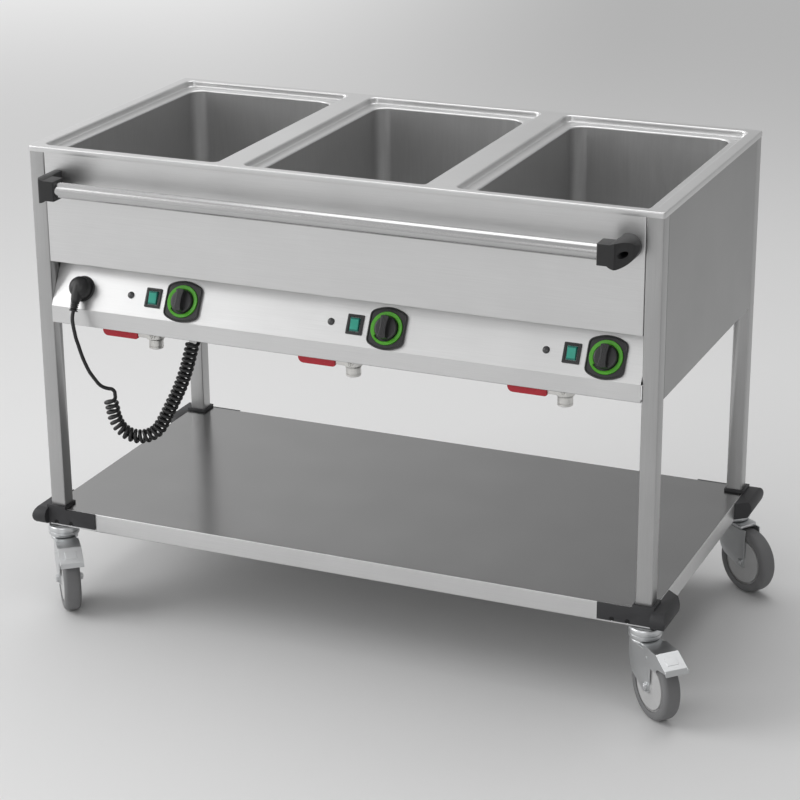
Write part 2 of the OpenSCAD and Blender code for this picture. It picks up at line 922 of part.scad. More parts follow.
module pilot_lamps() {
    color("#4a4a4a")
        for (x = well_x)
            on_slope(x - lamp_off, control_s)
                union() {
                    rod(lamp_d / 2 + lamp_ring_w, 0, lamp_ring_t);
                    rod(lamp_d / 2, 0, lamp_up);
                    rod(lamp_body_r, -lamp_body_l, 0);
                }
}

// Drain taps
module valve_bodies() {
    body_top = tap_z + tap_body_up;
    color("silver")
        for (x = well_x)
            translate([x + tap_off, -tap_y, 0])
                difference() {
                    union() {
                        rod(pipe_flange_r, tank_low - pipe_flange_t, tank_low);
                        rod(pipe_r, tap_z, tank_low);
                        translate([0, 0, body_top])
                            cylinder(r = tap_nut_r, h = tap_nut_t, $fn = hex_sides);
                        rod(tap_body_r, tap_z - tap_body_up, body_top);
                        rod(outlet_d / 2, tap_z - outlet_low, tap_z);
                        translate([0, 0, tap_z])
                            rod_y(boss_r, -boss_out, 0);
                    }
                    rod(drain_r, tap_z - outlet_low - overrun, tank_low + overrun);
                    rod(outlet_bore / 2, tap_z - outlet_low - overrun, tap_z - outlet_low + outlet_deep);
                    translate([0, 0, tap_z]) {
                        sphere(r = ball_r + ball_gap);
                        rod_y(stem_r + run_gap, -boss_out - overrun, 0);
                    }
                }
}

module valve_lever(x) {
    plate_y = -boss_out - face_gap - lever_t;
    color("lightgray")
        translate([x + tap_off, -tap_y, tap_z]) {
            union() {
                difference() {
                    sphere(r = ball_r);
                    rod_x(drain_r, -ball_r - overrun, ball_r + overrun);
                }
                rod_y(stem_r, plate_y - lever_nut_t - stem_over, -drain_r - overrun);
            }
            difference() {
                union() {
                    rod_y(lever_eye_r, plate_y, plate_y + lever_t);
                    block(-lever_l + grip_l - grip_in, 0, plate_y, plate_y + lever_t,
                        -lever_neck / 2, lever_neck / 2);
                }
                rod_y(stem_r + run_gap, plate_y - overrun, plate_y + lever_t + overrun);
            }
            difference() {
                translate([0, plate_y - run_gap, 0])
                    rotate([90, 0, 0])
                        cylinder(r = lever_nut_r, h = lever_nut_t, $fn = hex_sides);
                rod_y(stem_r + run_gap, plate_y - lever_nut_t - overrun, plate_y + overrun);
            }
        }
}

module valve_lever_left() valve_lever(well_x[0]);

module valve_lever_middle() valve_lever(well_x[1]);

module valve_lever_right() valve_lever(well_x[2]);

module lever_grip(x) {
    mid_y = -boss_out - face_gap - lever_t / 2;
    grip_start = lever_l - grip_l;
    color("firebrick")
        translate([x + tap_off, -tap_y, tap_z])
            difference() {
                translate([0, mid_y + grip_t / 2, 0])
                    rotate([90, 0, 0])
                        linear_extrude(grip_t) {
                            translate([-lever_l + grip_h / 2, -grip_h / 2])
                                square([grip_l - grip_h / 2, grip_h]);
                            translate([-lever_l + grip_h / 2, 0])
                                circle(r = grip_h / 2);
                        }
                block(-grip_start - grip_in, -grip_start + overrun, mid_y - lever_t / 2, mid_y + lever_t / 2,
                    -lever_neck / 2, lever_neck / 2);
            }
}

module lever_grip_left() lever_grip(well_x[0]);

module lever_grip_middle() lever_grip(well_x[1]);

module lever_grip_right() lever_grip(well_x[2]);

// Plug, parking socket, gland and cord
module parking_socket() {
    color("#222222")
        on_slope(plug_x, control_s)
            difference() {
                union() {
                    rod(socket_ring_r, 0, socket_ring_t);
                    rod(socket_r, -socket_t, 0);
                }
                for (side = [-1, 1])
                    translate([side * pin_off, 0, 0])
                        rod(pin_r + bolt_gap, socket_ring_t - pin_l - bolt_gap, socket_ring_t + overrun);
            }
}

module plug() {
    color("#1e1e1e")
        on_slope(plug_x, control_s)
            union() {
                rod(plug_d / 2, socket_ring_t, socket_ring_t + plug_t);
                for (side = [-1, 1])
                    translate([side * pin_off, 0, 0])
                        rod(pin_r, socket_ring_t - pin_l, socket_ring_t);
                translate([0, 0, tail_out]) {
                    rod_y(tail_r, -tail_end, 0);
                    rod_y(tail_flare_r, -tail_end, -tail_end + tail_flare_t);
                }
            }
}

module cord_gland() {
    color("#222222")
        translate([gland_x, gland_y, 0])
            union() {
                rod(gland_r, tray_z - gland_low, tray_z);
                translate([0, 0, tray_z - gland_nut_t])
                    cylinder(r = gland_nut_r, h = gland_nut_t, $fn = hex_sides);
                rod(gland_thread_r, tray_z, tray_z + gland_up);
                translate([0, 0, tray_z + sheet_t])
                    cylinder(r = gland_nut_r, h = gland_nut_t, $fn = hex_sides);
            }
}

// Directions along a line of points, and normals carried along it without twisting
function unit(v) = v / norm(v);
function heading(p, i) = unit(p[min(i + 1, len(p) - 1)] - p[max(i - 1, 0)]);
function square_to(u, t) = unit(u - (u * t) * t);
function carried(p, u0) = [
    for (i = 0, u = square_to(u0, heading(p, 0)); i < len(p);
        i = i + 1, u = i < len(p) ? square_to(u, heading(p, i)) : u) u
];

// One unbroken tube of triangles through a list of points
module tube(p, r, sides) {
    u = carried(p, [1, 0, 0]);
    rings = [
        for (i = [0 : len(p) - 1])
            for (k = [0 : sides - 1])
                p[i] + r * (cos(360 * k / sides) * u[i] + sin(360 * k / sides) * cross(heading(p, i), u[i]))
    ];
    last = (len(p) - 1) * sides;
    skin = [
        for (i = [0 : len(p) - 2])
            for (k = [0 : sides - 1])
                let (a = i * sides + k, b = i * sides + (k + 1) % sides)
                    each [[a, a + sides, b], [b, a + sides, b + sides]]
    ];
    caps = [
        for (k = [1 : sides - 2])
            each [[0, k, k + 1], [last, last + k + 1, last + k]]
    ];
    polyhedron(points = rings, faces = concat(skin, caps), convexity = 10);
}

// Smooth line through the coil's hand-chosen points, and its length so far at each step
function bend(a, b, c, d, t) = (2 * b + (c - a) * t + (2 * a - 5 * b + 4 * c - d) * t * t
    + (3 * b - a - 3 * c + d) * t * t * t) / 2;
line_last = len(coil_line) - 1;
line_pts = [
    for (i = [0 : line_last - 1])
        for (j = [0 : line_steps - 1])
            bend(coil_line[max(i - 1, 0)], coil_line[i], coil_line[i + 1],
                coil_line[min(i + 2, line_last)], j / line_steps)
];
line_xyz = [for (p = line_pts) [p[0], coil_out + coil_turn_share * p[0], p[1]]];
line_len = [
    for (i = 0, s = 0; i < len(line_xyz);
        i = i + 1, s = i < len(line_xyz) ? s + norm(line_xyz[i] - line_xyz[i - 1]) : s) s
];
line_tables = [
    for (axis = [0 : 2])
        [for (i = [0 : len(line_xyz) - 1]) [line_len[i], line_xyz[i][axis]]]
];
function line_at(s) = [for (table = line_tables) lookup(s, table)];

// Helix round that line, eased into a straight run at both ends
coil_side = unit([coil_turn_share, -1, 0]);
turns = curls + hook_share + end_turn_share;
coil_start = line_len[line_steps];
coil_end = line_len[len(line_len) - line_steps];
mean_pitch = (coil_end - coil_start) / turns;
function turn_angle(t) = 360 * (t < hook_share ? t * t / (2 * hook_share)
    : t > turns - hook_share ? turns - hook_share - pow(turns - t, 2) / (2 * hook_share)
    : t - hook_share / 2);
function turn_along(t) = coil_start + mean_pitch * t * (1 - coil_stretch_share + coil_stretch_share * t / turns)
    - (t < hook_share ? hook_rise * pow(1 - t / hook_share, 2) : 0)
    + (t > turns - hook_share ? hook_rise * pow(1 - (turns - t) / hook_share, 2) : 0);
function curl_point(t) =
    let (s = turn_along(t), ahead = unit(line_at(s + look_ahead) - line_at(s - look_ahead)),
        across = cross(coil_side, ahead))
        line_at(s) + curl_r * (cos(turn_angle(t)) * across + sin(turn_angle(t)) * coil_side);
curl_points = [for (k = [0 : turns * curl_rings]) curl_point(k / curl_rings)];
tail_start = tail_route[0] - cord_d * unit(tail_route[1] - tail_route[0]);
coil_points = concat(hook_route, curl_points, [tail_start, tail_route[0]]);
coil_gap = min([
    for (i = [0 : len(coil_points) - curl_rings / 2 - 2])
        for (j = [i + curl_rings / 2 : min(i + 2 * curl_rings, len(coil_points) - 1)])
            norm(coil_points[i] - coil_points[j])
]) - cord_d;
echo(coil_length = coil_end - coil_start, mean_pitch = mean_pitch, least_coil_gap = coil_gap);
echo(first_curl = curl_points[0], last_curl = curl_points[len(curl_points) - 1]);

module cord_lead() {
    color("#1a1a1a")
        translate(cord_at)
            tube(lead_route, cord_d / 2, cord_sides);
}

module cord_coil() {
    color("#1a1a1a")
        translate(cord_at)
            tube(coil_points, cord_d / 2, curl_sides);
}

module cord_tail() {
    color("#1a1a1a")
        translate(cord_at)
            tube(tail_route, cord_d / 2, cord_sides);
}

// Castors
module at_castor(i) {
    translate([corners[i][0] * leg_x, corners[i][1] * leg_y, 0])
        rotate([0, 0, castor_turn[i]])
            children();
}

module castor_heads() {
    race_low = crown_top + face_gap;
    race_r = head_d / 2;
    nut_top = crown_top - crown_t - face_gap;
    color("silver")
        for (i = [0 : len(corners) - 1])
            at_castor(i)
                rotate_extrude()
                    polygon([
                        [0, nut_top - kingnut_t], [kingnut_r, nut_top - kingnut_t],
                        [kingnut_r, nut_top], [kingpin_r, nut_top], [kingpin_r, race_low],
                        [head_foot_r, race_low], [race_r, race_low + head_bevel],
                        [race_r, castor_h - head_bevel], [head_top_r, castor_h], [stud_r, castor_h],
                        [stud_r, leg_low + stud_up], [0, leg_low + stud_up]
                    ]);
}

module fork_cheek() {
    polygon([
        [-cheek_back, crown_top - crown_t], [fork_end, crown_top - crown_t],
        [fork_end, axle_z - axle_head_r], [fork_end - axle_head_r, axle_z - cheek_low],
        [trail - 2 * axle_head_r, axle_z - axle_head_r], [-axle_r, axle_z + axle_r],
        [-crown_r / 2, axle_z + 2 * axle_head_r], [-cheek_back, crown_top - cheek_drop]
    ]);
}

module castor_fork(i) {
    braked = corners[i][1] < 0;
    fork_out = fork_in + fork_wall;
    color("silver")
        at_castor(i) {
            difference() {
                union() {
                    rod(crown_r, crown_top - crown_t, crown_top);
                    block(0, crown_end, -fork_out, fork_out, crown_top - crown_t, crown_top);
                    for (side = [-1, 1])
                        translate([0, side * (fork_in + fork_wall / 2) + fork_wall / 2, 0])
                            rotate([90, 0, 0])
                                linear_extrude(fork_wall)
                                    fork_cheek();
                    if (braked)
                        for (side = [-1, 1])
                            translate([pedal_t, 0, pedal_z])
                                rod_y(pedal_rivet_r,
                                    side < 0 ? -pedal_in - pedal_wall - pedal_rivet_out : fork_in,
                                    side < 0 ? -fork_in : pedal_in + pedal_wall + pedal_rivet_out);
                }
                rod(kingpin_r + run_gap, crown_top - crown_t - overrun, crown_top + overrun);
                translate([trail, 0, axle_z])
                    rod_y(axle_r + run_gap, -fork_out - overrun, fork_out + overrun);
            }
            translate([trail, 0, axle_z])
                union() {
                    rod_y(axle_r, -fork_out - axle_head_t - overrun, fork_out + axle_head_t);
                    for (side = [-1, 1])
                        translate([0, side * (fork_out + run_gap + axle_head_t / 2) + axle_head_t / 2, 0])
                            rotate([90, 0, 0])
                                cylinder(r = axle_head_r, h = axle_head_t, $fn = hex_sides);
                }
        }
}

module castor_fork_front_left() castor_fork(0);

module castor_fork_front_right() castor_fork(1);

module castor_fork_rear_left() castor_fork(2);

module castor_fork_rear_right() castor_fork(3);

module wheel_hub(i) {
    hub_r = hub_d / 2;
    boss_half = fork_in - face_gap;
    rim_half = hub_rim_w / 2;
    web_half = hub_web_t / 2;
    color("darkgray")
        at_castor(i)
            translate([trail, 0, axle_z])
                rotate([90, 0, 0])
                    rotate_extrude()
                        polygon([
                            [axle_r + run_gap, -boss_half], [hub_boss_r - hub_web_t / 4, -boss_half],
                            [hub_boss_r, -web_half], [hub_r - hub_rim_t, -web_half],
                            [hub_r - hub_rim_t / 2, -rim_half], [hub_r, -rim_half],
                            [hub_r, rim_half], [hub_r - hub_rim_t / 2, rim_half],
                            [hub_r - hub_rim_t, web_half], [hub_boss_r, web_half],
                            [hub_boss_r - hub_web_t / 4, boss_half], [axle_r + run_gap, boss_half]
                        ]);
}

module wheel_hub_front_left() wheel_hub(0);

module wheel_hub_front_right() wheel_hub(1);

module wheel_hub_rear_left() wheel_hub(2);

module wheel_hub_rear_right() wheel_hub(3);

module tyre(i) {
    out_r = wheel_d / 2;
    color("gray")
        at_castor(i)
            translate([trail, 0, axle_z])
                rotate([90, 0, 0])
                    rotate_extrude()
                        difference() {
                            union() {
                                translate([hub_d / 2, -wheel_w / 2])
                                    square([out_r - tyre_r - hub_d / 2, wheel_w]);
                                translate([hub_d / 2, tyre_r - wheel_w / 2])
                                    square([out_r - hub_d / 2, wheel_w - 2 * tyre_r]);
                                for (side = [-1, 1])
                                    translate([out_r - tyre_r, side * (wheel_w / 2 - tyre_r)])
                                        circle(r = tyre_r);
                            }
                            translate([0, -wheel_w])
                                square([hub_d / 2, 2 * wheel_w]);
                        }
}

module tyre_front_left() tyre(0);

module tyre_front_right() tyre(1);

module tyre_rear_left() tyre(2);

module tyre_rear_right() tyre(3);

module brake_pedal(i) {
    out_w = pedal_in + pedal_wall;
    color("silver")
        at_castor(i)
            difference() {
                union() {
                    for (side = [-1, 1])
                        translate([0, side * (pedal_in + pedal_wall / 2) + pedal_wall / 2, pedal_top])
                            rotate([90, 0, 0])
                                linear_extrude(pedal_wall)
                                    polygon(pedal_cheek);
                    translate([0, out_w, pedal_top])
                        rotate([90, 0, 0])
                            linear_extrude(2 * out_w)
                                polygon(pedal_plate);
                    intersection() {
                        translate([0, pad_half_w, pedal_top])
                            rotate([90, 0, 0])
                                linear_extrude(2 * pad_half_w)
                                    polygon(pedal_pad);
                        difference() {
                            block(0, 2 * wheel_d, -wheel_d, wheel_d, 0, 2 * wheel_d);
                            translate([trail, 0, axle_z])
                                rod_y(wheel_d / 2 + pad_gap, -wheel_d, wheel_d);
                        }
                    }
                }
                translate([pedal_t, 0, pedal_z])
                    rod_y(pedal_rivet_r + run_gap, -out_w - overrun, out_w + overrun);
            }
}

module brake_pedal_front_left() brake_pedal(0);

module brake_pedal_front_right() brake_pedal(1);

top_deck();
well_left();
well_middle();
well_right();
heater_elements();
leg_front_left();
leg_front_right();
leg_rear_left();
leg_rear_right();
front_panel();
rear_panel();
side_panel_left();
side_panel_right();
control_panel();
bottom_tray();
lower_shelf();
corner_bumpers();
fixing_screws();
handle_bar();
handle_bracket_left();
handle_bracket_right();
thermostat_bezels();
glow_rings();
thermostats();
switch_frames();
pilot_lamps();
valve_bodies();
parking_socket();
cord_gland();
plug();
cord_lead();
cord_coil();
cord_tail();
castor_heads();
knob_left();
knob_middle();
knob_right();
rocker_left();
rocker_middle();
rocker_right();
valve_lever_left();
valve_lever_middle();
valve_lever_right();
lever_grip_left();
lever_grip_middle();
lever_grip_right();
castor_fork_front_left();
castor_fork_front_right();
castor_fork_rear_left();
castor_fork_rear_right();
wheel_hub_front_left();
wheel_hub_front_right();
wheel_hub_rear_left();
wheel_hub_rear_right();
tyre_front_left();
tyre_front_right();
tyre_rear_left();
tyre_rear_right();
brake_pedal_front_left();
brake_pedal_front_right();
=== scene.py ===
import json
import math
import bmesh
import bpy
from mathutils import Matrix, Vector


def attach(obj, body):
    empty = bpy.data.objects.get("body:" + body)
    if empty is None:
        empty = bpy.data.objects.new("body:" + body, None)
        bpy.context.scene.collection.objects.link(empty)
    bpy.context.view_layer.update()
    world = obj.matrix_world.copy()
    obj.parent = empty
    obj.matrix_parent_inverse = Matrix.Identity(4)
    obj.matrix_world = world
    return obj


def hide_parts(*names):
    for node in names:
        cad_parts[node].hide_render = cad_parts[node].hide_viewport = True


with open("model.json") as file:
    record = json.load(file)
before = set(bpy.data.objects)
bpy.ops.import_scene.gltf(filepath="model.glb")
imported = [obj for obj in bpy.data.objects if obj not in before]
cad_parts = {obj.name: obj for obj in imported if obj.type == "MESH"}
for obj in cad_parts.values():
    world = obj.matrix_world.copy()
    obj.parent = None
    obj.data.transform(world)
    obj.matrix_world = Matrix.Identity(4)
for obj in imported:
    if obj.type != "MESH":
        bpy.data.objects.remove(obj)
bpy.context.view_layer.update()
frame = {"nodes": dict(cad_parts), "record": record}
nodes = frame["nodes"]
mm = 0.001
weldWithin = 0.002 * mm
print("frame loaded:", len(nodes), "parts")

# Camera
view = {
    "place": (1.66843, -3.82584, 1.94517),   # metres
    "turn": (1.2147, 0.00748, 0.40853),      # radians, XYZ
    "focalPixels": 2359.18,
    "imagePixels": 800,
    "sensor": 36.0,
}
cameraData = bpy.data.cameras.new("camera")
cameraData.sensor_width = view["sensor"]
cameraData.lens = view["focalPixels"] / view["imagePixels"] * view["sensor"]
camera = bpy.data.objects.new("camera", cameraData)
camera.location = view["place"]
camera.rotation_euler = view["turn"]
bpy.context.scene.collection.objects.link(camera)
bpy.context.scene.camera = camera


# Materials: one helper that adds a node, one that reads a hex colour
def linear(hexColour):
    parts = [int(hexColour[i:i + 2], 16) / 255 for i in (1, 3, 5)]
    return tuple(c / 12.92 if c <= 0.04045 else ((c + 0.055) / 1.055) ** 2.4 for c in parts) + (1.0,)


def add(tree, kind, links=None, values=None, **settings):
    node = tree.nodes.new(kind)
    for key, value in settings.items():
        setattr(node, key, value)
    for key, value in (values or {}).items():
        node.inputs[key].default_value = value
    for key, socket in (links or {}).items():
        tree.links.new(socket, node.inputs[key])
    return node


def startMaterial(name, colour, metallic, roughness):
    material = bpy.data.materials.new(name)
    material.use_nodes = True
    tree = material.node_tree
    surface = tree.nodes["Principled BSDF"]
    surface.inputs["Base Color"].default_value = linear(colour)
    surface.inputs["Metallic"].default_value = metallic
    surface.inputs["Roughness"].default_value = roughness
    place = add(tree, "ShaderNodeTexCoord").outputs["Object"]
    return material, tree, surface, place


# Patterns from 0 to 1 into a surface: tones tints it, wear sets how rough it is, grain raises it by depth
def dress(tree, surface, colours, roughness, tones, wear, grain, depth, height):
    tint = add(tree, "ShaderNodeMix", {"Factor": tones}, {"A": linear(colours[0]), "B": linear(colours[1])},
               data_type="RGBA")
    rough = add(tree, "ShaderNodeMapRange", {"Value": wear}, {"To Min": roughness[0], "To Max": roughness[1]})
    bump = add(tree, "ShaderNodeBump", {"Height": grain}, {"Strength": depth, "Distance": height})
    tree.links.new(tint.outputs["Result"], surface.inputs["Base Color"])
    tree.links.new(rough.outputs["Result"], surface.inputs["Roughness"])
    tree.links.new(bump.outputs["Normal"], surface.inputs["Normal"])


# Satin-ground stainless sheet: long fine scratches one way, and cloudy wear under them.
# The real grain is 0.2 mm apart; it is drawn at about 1.5 mm, so that it shows.
def groundSteel(name, dark, light, along, roughness=(0.30, 0.42), grain=1.5 * mm, run=90 * mm, depth=0.05,
                cloud=143 * mm, height=0.2 * mm):
    material, tree, surface, place = startMaterial(name, light, 1.0, roughness[0])
    size = [1 / grain] * 3
    size["XYZ".index(along)] = 1 / run
    stretched = add(tree, "ShaderNodeMapping", {"Vector": place}, {"Scale": size}).outputs["Vector"]
    scratches = add(tree, "ShaderNodeTexNoise", {"Vector": stretched},
                    {"Scale": 1.0, "Detail": 4.0, "Roughness": 0.6}).outputs["Fac"]
    clouds = add(tree, "ShaderNodeTexNoise", {"Vector": place},
                 {"Scale": 1 / cloud, "Detail": 3.0, "Roughness": 0.5}).outputs["Fac"]
    both = add(tree, "ShaderNodeMath", {0: scratches, 1: clouds}, {2: 0.25}, operation="MULTIPLY_ADD")
    dress(tree, surface, (dark, light), roughness, both.outputs[0], scratches, scratches, depth, height)
    return material


# Plastics and rubbers: a fine eroded grain in the bump, slightly worn patches in the roughness
def mouldedPlastic(name, dark, light, roughness, grain=0.5 * mm, depth=0.15, patch=25 * mm, height=0.1 * mm):
    material, tree, surface, place = startMaterial(name, light, 0.0, roughness[0])
    fine = add(tree, "ShaderNodeTexNoise", {"Vector": place},
               {"Scale": 1 / grain, "Detail": 2.0, "Roughness": 0.5}).outputs["Fac"]
    worn = add(tree, "ShaderNodeTexNoise", {"Vector": place},
               {"Scale": 1 / patch, "Detail": 4.0, "Roughness": 0.6}).outputs["Fac"]
    dress(tree, surface, (dark, light), roughness, worn, worn, fine, depth, height)
    return material


# Plated metal: mirror-like under faint polishing marks
def platedMetal(name, dark, light, roughness, blotch=16.7 * mm, depth=0.04, height=0.3 * mm):
    material, tree, surface, place = startMaterial(name, light, 1.0, roughness[0])
    clouds = add(tree, "ShaderNodeTexNoise", {"Vector": place},
                 {"Scale": 1 / blotch, "Detail": 4.0, "Roughness": 0.6}).outputs["Fac"]
    dress(tree, surface, (dark, light), roughness, clouds, clouds, clouds, depth, height)
    return material


finishes = {
    # satin-ground stainless sheet, grain across: the deck and front read as broad, soft, streaked bands
    "sheetSteelAcross": groundSteel("sheetSteelAcross", "#cacaca", "#e4e4e4", "X"),
    # the same sheet with its grain front to back, its tone set darker as painted shade on the side panels
    "sheetSteelShadedSides": groundSteel("sheetSteelShadedSides", "#949494", "#aeaeae", "Y"),
    # the same finish drawn along the legs: a fine upright grain, its tone set below the deck's as painted
    # shade
    "sheetSteelShadedUpright": groundSteel("sheetSteelShadedUpright", "#a2a2a2", "#c2c2c2", "Z"),
    # the same sheet on the shelf's top, its tone set below the deck's as painted shade under the body
    "shelfSteelShaded": groundSteel("shelfSteelShaded", "#8a8a8a", "#a0a0a0", "X", (0.17, 0.25)),
    # deep-drawn tank steel: blurred, slightly mottled walls
    "drawnSteel": groundSteel("drawnSteel", "#b0b0b0", "#cecece", "Z", (0.38, 0.5), 4 * mm, 60 * mm),
    # polished tube: one crisp bright line along the handle
    "polishedTube": groundSteel("polishedTube", "#b0b0b0", "#cacaca", "X", (0.2, 0.28), 1.0 * mm, 60 * mm,
                                0.03),
    # cast aluminium heater plates: flat and grainy
    "heaterPlate": platedMetal("heaterPlate", "#a9aaab", "#c9c9ca", (0.35, 0.5)),
    # nickel-plated brass: a warm grey shine on the taps
    "nickelPlate": platedMetal("nickelPlate", "#d0cfcc", "#e8e7e4", (0.3, 0.42)),
    # bright zinc: clear, slightly uneven reflections on the castors
    "brightZinc": platedMetal("brightZinc", "#c8cacb", "#dddedf", (0.3, 0.42), 55.6 * mm),
    # black oxide screw heads, made matt and non-metallic so they also carry painted shade of their recesses
    "blackOxideRecessShade": mouldedPlastic("blackOxideRecessShade", "#0e0e0f", "#161617", (0.6, 0.75)),
    # fine-grained black nylon: soft wide highlights on the brackets and plug
    "blackNylon": mouldedPlastic("blackNylon", "#1b1b1c", "#262627", (0.38, 0.5)),
    # smoother black plastic: tighter highlights on the knobs and frames
    "blackGloss": mouldedPlastic("blackGloss", "#262627", "#313132", (0.25, 0.36), depth=0.06),
    # matt rubber: the corner bumpers stay dark without a shine
    "bumperRubber": mouldedPlastic("bumperRubber", "#29292b", "#363638", (0.5, 0.66)),
    # clear green polycarbonate: the even bright ring round each knob
    "greenPolycarbonate": mouldedPlastic("greenPolycarbonate", "#47a01e", "#5cba2e", (0.3, 0.42), depth=0.05),
    # deep teal lens: the dark edges of the rockers
    "tealLens": mouldedPlastic("tealLens", "#1b6a60", "#237e70", (0.16, 0.26), depth=0.04),
    # lighter teal on the lens's raised middle: a painted highlight
    "tealFaceHighlight": mouldedPlastic("tealFaceHighlight", "#2a9682", "#38ad97", (0.2, 0.3), depth=0.04),
    # smoked lens: a small dark glint
    "smokedLens": mouldedPlastic("smokedLens", "#3c3c3d", "#4b4b4c", (0.2, 0.3), depth=0.04),
    # dipped soft vinyl: slightly orange-peeled red grips
    "dippedVinyl": mouldedPlastic("dippedVinyl", "#b81c2c", "#cc2638", (0.3, 0.44), 1.2 * mm, 0.12),
    # grey nylon: pale matt hubs
    "wheelNylon": mouldedPlastic("wheelNylon", "#b2b2b2", "#c4c4c4", (0.38, 0.5)),
    # grey thermoplastic rubber: matt tyre, set a shade darker than the hub as painted shade on the tread
    "greyTreadShaded": mouldedPlastic("greyTreadShaded", "#6e6e6f", "#7d7d7e", (0.5, 0.66), 0.8 * mm),
    # extruded cord sheath: each curl carries a thin bright line
    "cordSheath": mouldedPlastic("cordSheath", "#161617", "#212122", (0.3, 0.42), depth=0.08),
}
slotFinish = {
    "stainless_steel": "sheetSteelAcross", "tank_steel": "drawnSteel", "heater_aluminium": "heaterPlate",
    "black_plastic": "blackNylon", "green_ring": "greenPolycarbonate", "teal_lens": "tealLens",
    "lamp_grey": "smokedLens", "nickel_plate": "nickelPlate", "red_grip": "dippedVinyl",
    "zinc_plate": "brightZinc", "hub_plastic": "wheelNylon", "grey_tyre": "greyTreadShaded",
    "cord_rubber": "cordSheath",
}
print("materials made:", len(finishes))


def link(name, mesh):
    piece = bpy.data.objects.new(name, mesh)
    bpy.context.scene.collection.objects.link(piece)
    return piece


def settle(piece, body, finish, replaced=()):
    piece.data.materials.clear()
    piece.data.materials.append(finishes[finish])
    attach(piece, body)
    if replaced:
        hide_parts(*replaced)
    return piece


def smoothed(shape, mesh, sharp):   # smooth, but for the edges over the sharp angle in degrees
    shape.to_mesh(mesh)
    shape.free()
    mesh.shade_smooth()
    mesh.set_sharp_from_angle(angle=math.radians(sharp))
    return mesh


def turnedOut(mesh, sharp=32, weld=True):   # all faces outwards
    shape = bmesh.new()
    shape.from_mesh(mesh)
    if weld:
        bmesh.ops.remove_doubles(shape, verts=shape.verts, dist=weldWithin)
    bmesh.ops.recalc_face_normals(shape, faces=shape.faces)
    return smoothed(shape, mesh, sharp)


def modify(piece, name, kind, **settings):
    modifier = piece.modifiers.new(name, kind)
    for key, value in settings.items():
        setattr(modifier, key, value)


def bakeModifiers(piece):
    graph = bpy.context.evaluated_depsgraph_get()
    made = bpy.data.meshes.new_from_object(piece.evaluated_get(graph), preserve_all_data_layers=True,
                                           depsgraph=graph)
    old = piece.data
    piece.modifiers.clear()
    piece.data = made
    made.name = old.name
    bpy.data.meshes.remove(old)
    return piece


# A merged copy of a CAD part with its edges rounded; a bend under flatWithin degrees is no edge
def softened(node, name, body, finish, width=0.6, segments=2, fromAngle=25, pick=None,
             flatWithin=0.4, sharp=50):
    mesh = nodes[node].data.copy()
    mesh.name = name
    shape = bmesh.new()
    shape.from_mesh(mesh)
    bmesh.ops.remove_doubles(shape, verts=shape.verts, dist=weldWithin)
    bmesh.ops.dissolve_limit(shape, angle_limit=math.radians(flatWithin),
                             verts=shape.verts, edges=shape.edges)
    edges = [e for e in shape.edges if len(e.link_faces) == 2
             and e.calc_face_angle(0) > math.radians(fromAngle) and (pick is None or pick(e))]
    bmesh.ops.bevel(shape, geom=edges, offset=width * mm, offset_type="OFFSET", segments=segments,
                    profile=0.5, affect="EDGES", clamp_overlap=True)
    bmesh.ops.recalc_face_normals(shape, faces=shape.faces)
    return settle(link(name, smoothed(shape, mesh, sharp)), body, finish, [node])


# Cord
cordSizes = {
    "diameter": 6.9,
    "curlRadius": 10.1,    # from the middle of the coil to the middle of the cord
    "curls": 32,
    "ringsEachCurl": 24,
    "sides": 14,
}
# The points that the cord passes: straight lead, hook into the coil, the coil's middle line as (x, z), tail
cordRoute = {
    "lead": [
        (-508, -320.5, 604), (-508, -324, 597.5), (-507, -327, 590), (-505, -329, 581),
        (-502, -330.5, 569), (-499, -331.5, 557), (-495, -331.5, 545), (-491, -331, 531),
        (-487, -330, 518), (-482.5, -327.5, 504), (-478, -325, 492), (-474, -321.5, 483),
        (-470.5, -318, 475)],
    "hook": [
        (-470.5, -318, 475), (-467.3, -314.8, 468), (-463.5, -310, 461.5),
        (-459, -304.5, 457), (-454, -300, 454.5), (-449, -297, 453), (-444.8, -295.6, 448.5)],
    "coilLine": [
        (-455, 447), (-453, 436), (-449.5, 417), (-446.5, 399), (-439, 381), (-425, 367),
        (-407, 361), (-388, 364), (-372, 375), (-362, 391), (-353, 409), (-342, 432),
        (-331, 456), (-322, 480), (-314.5, 504), (-308.5, 528), (-303.5, 548), (-300.5, 560)],
    "tail": [
        (-291.3, -242.1, 559.5), (-289.6, -241.5, 564.5), (-288.5, -241.2, 568.5),
        (-288, -241, 572.5), (-288, -241, 578)],
    "planeY": -318, "planeX": -508, "planeShare": 0.35,   # the upright plane that the coil hangs in
    "hookShare": 0.5, "endShare": 0.5, "hookRise": 3, "steps": 24, "lookAhead": 4,
    "straightSteps": 3, "closest": 0.05,
}


def catmullRom(a, b, c, d, t):
    return (2 * b + (c - a) * t + (2 * a - 5 * b + 4 * c - d) * t * t
            + (3 * b - a - 3 * c + d) * t ** 3) / 2


def smoothLine(knots, steps):   # a smooth line through every knot
    knots = [Vector(p) for p in knots]
    last = len(knots) - 1
    return [catmullRom(knots[max(i - 1, 0)], knots[i], knots[i + 1], knots[min(i + 2, last)], j / steps)
            for i in range(last) for j in range(steps)] + [knots[-1]]


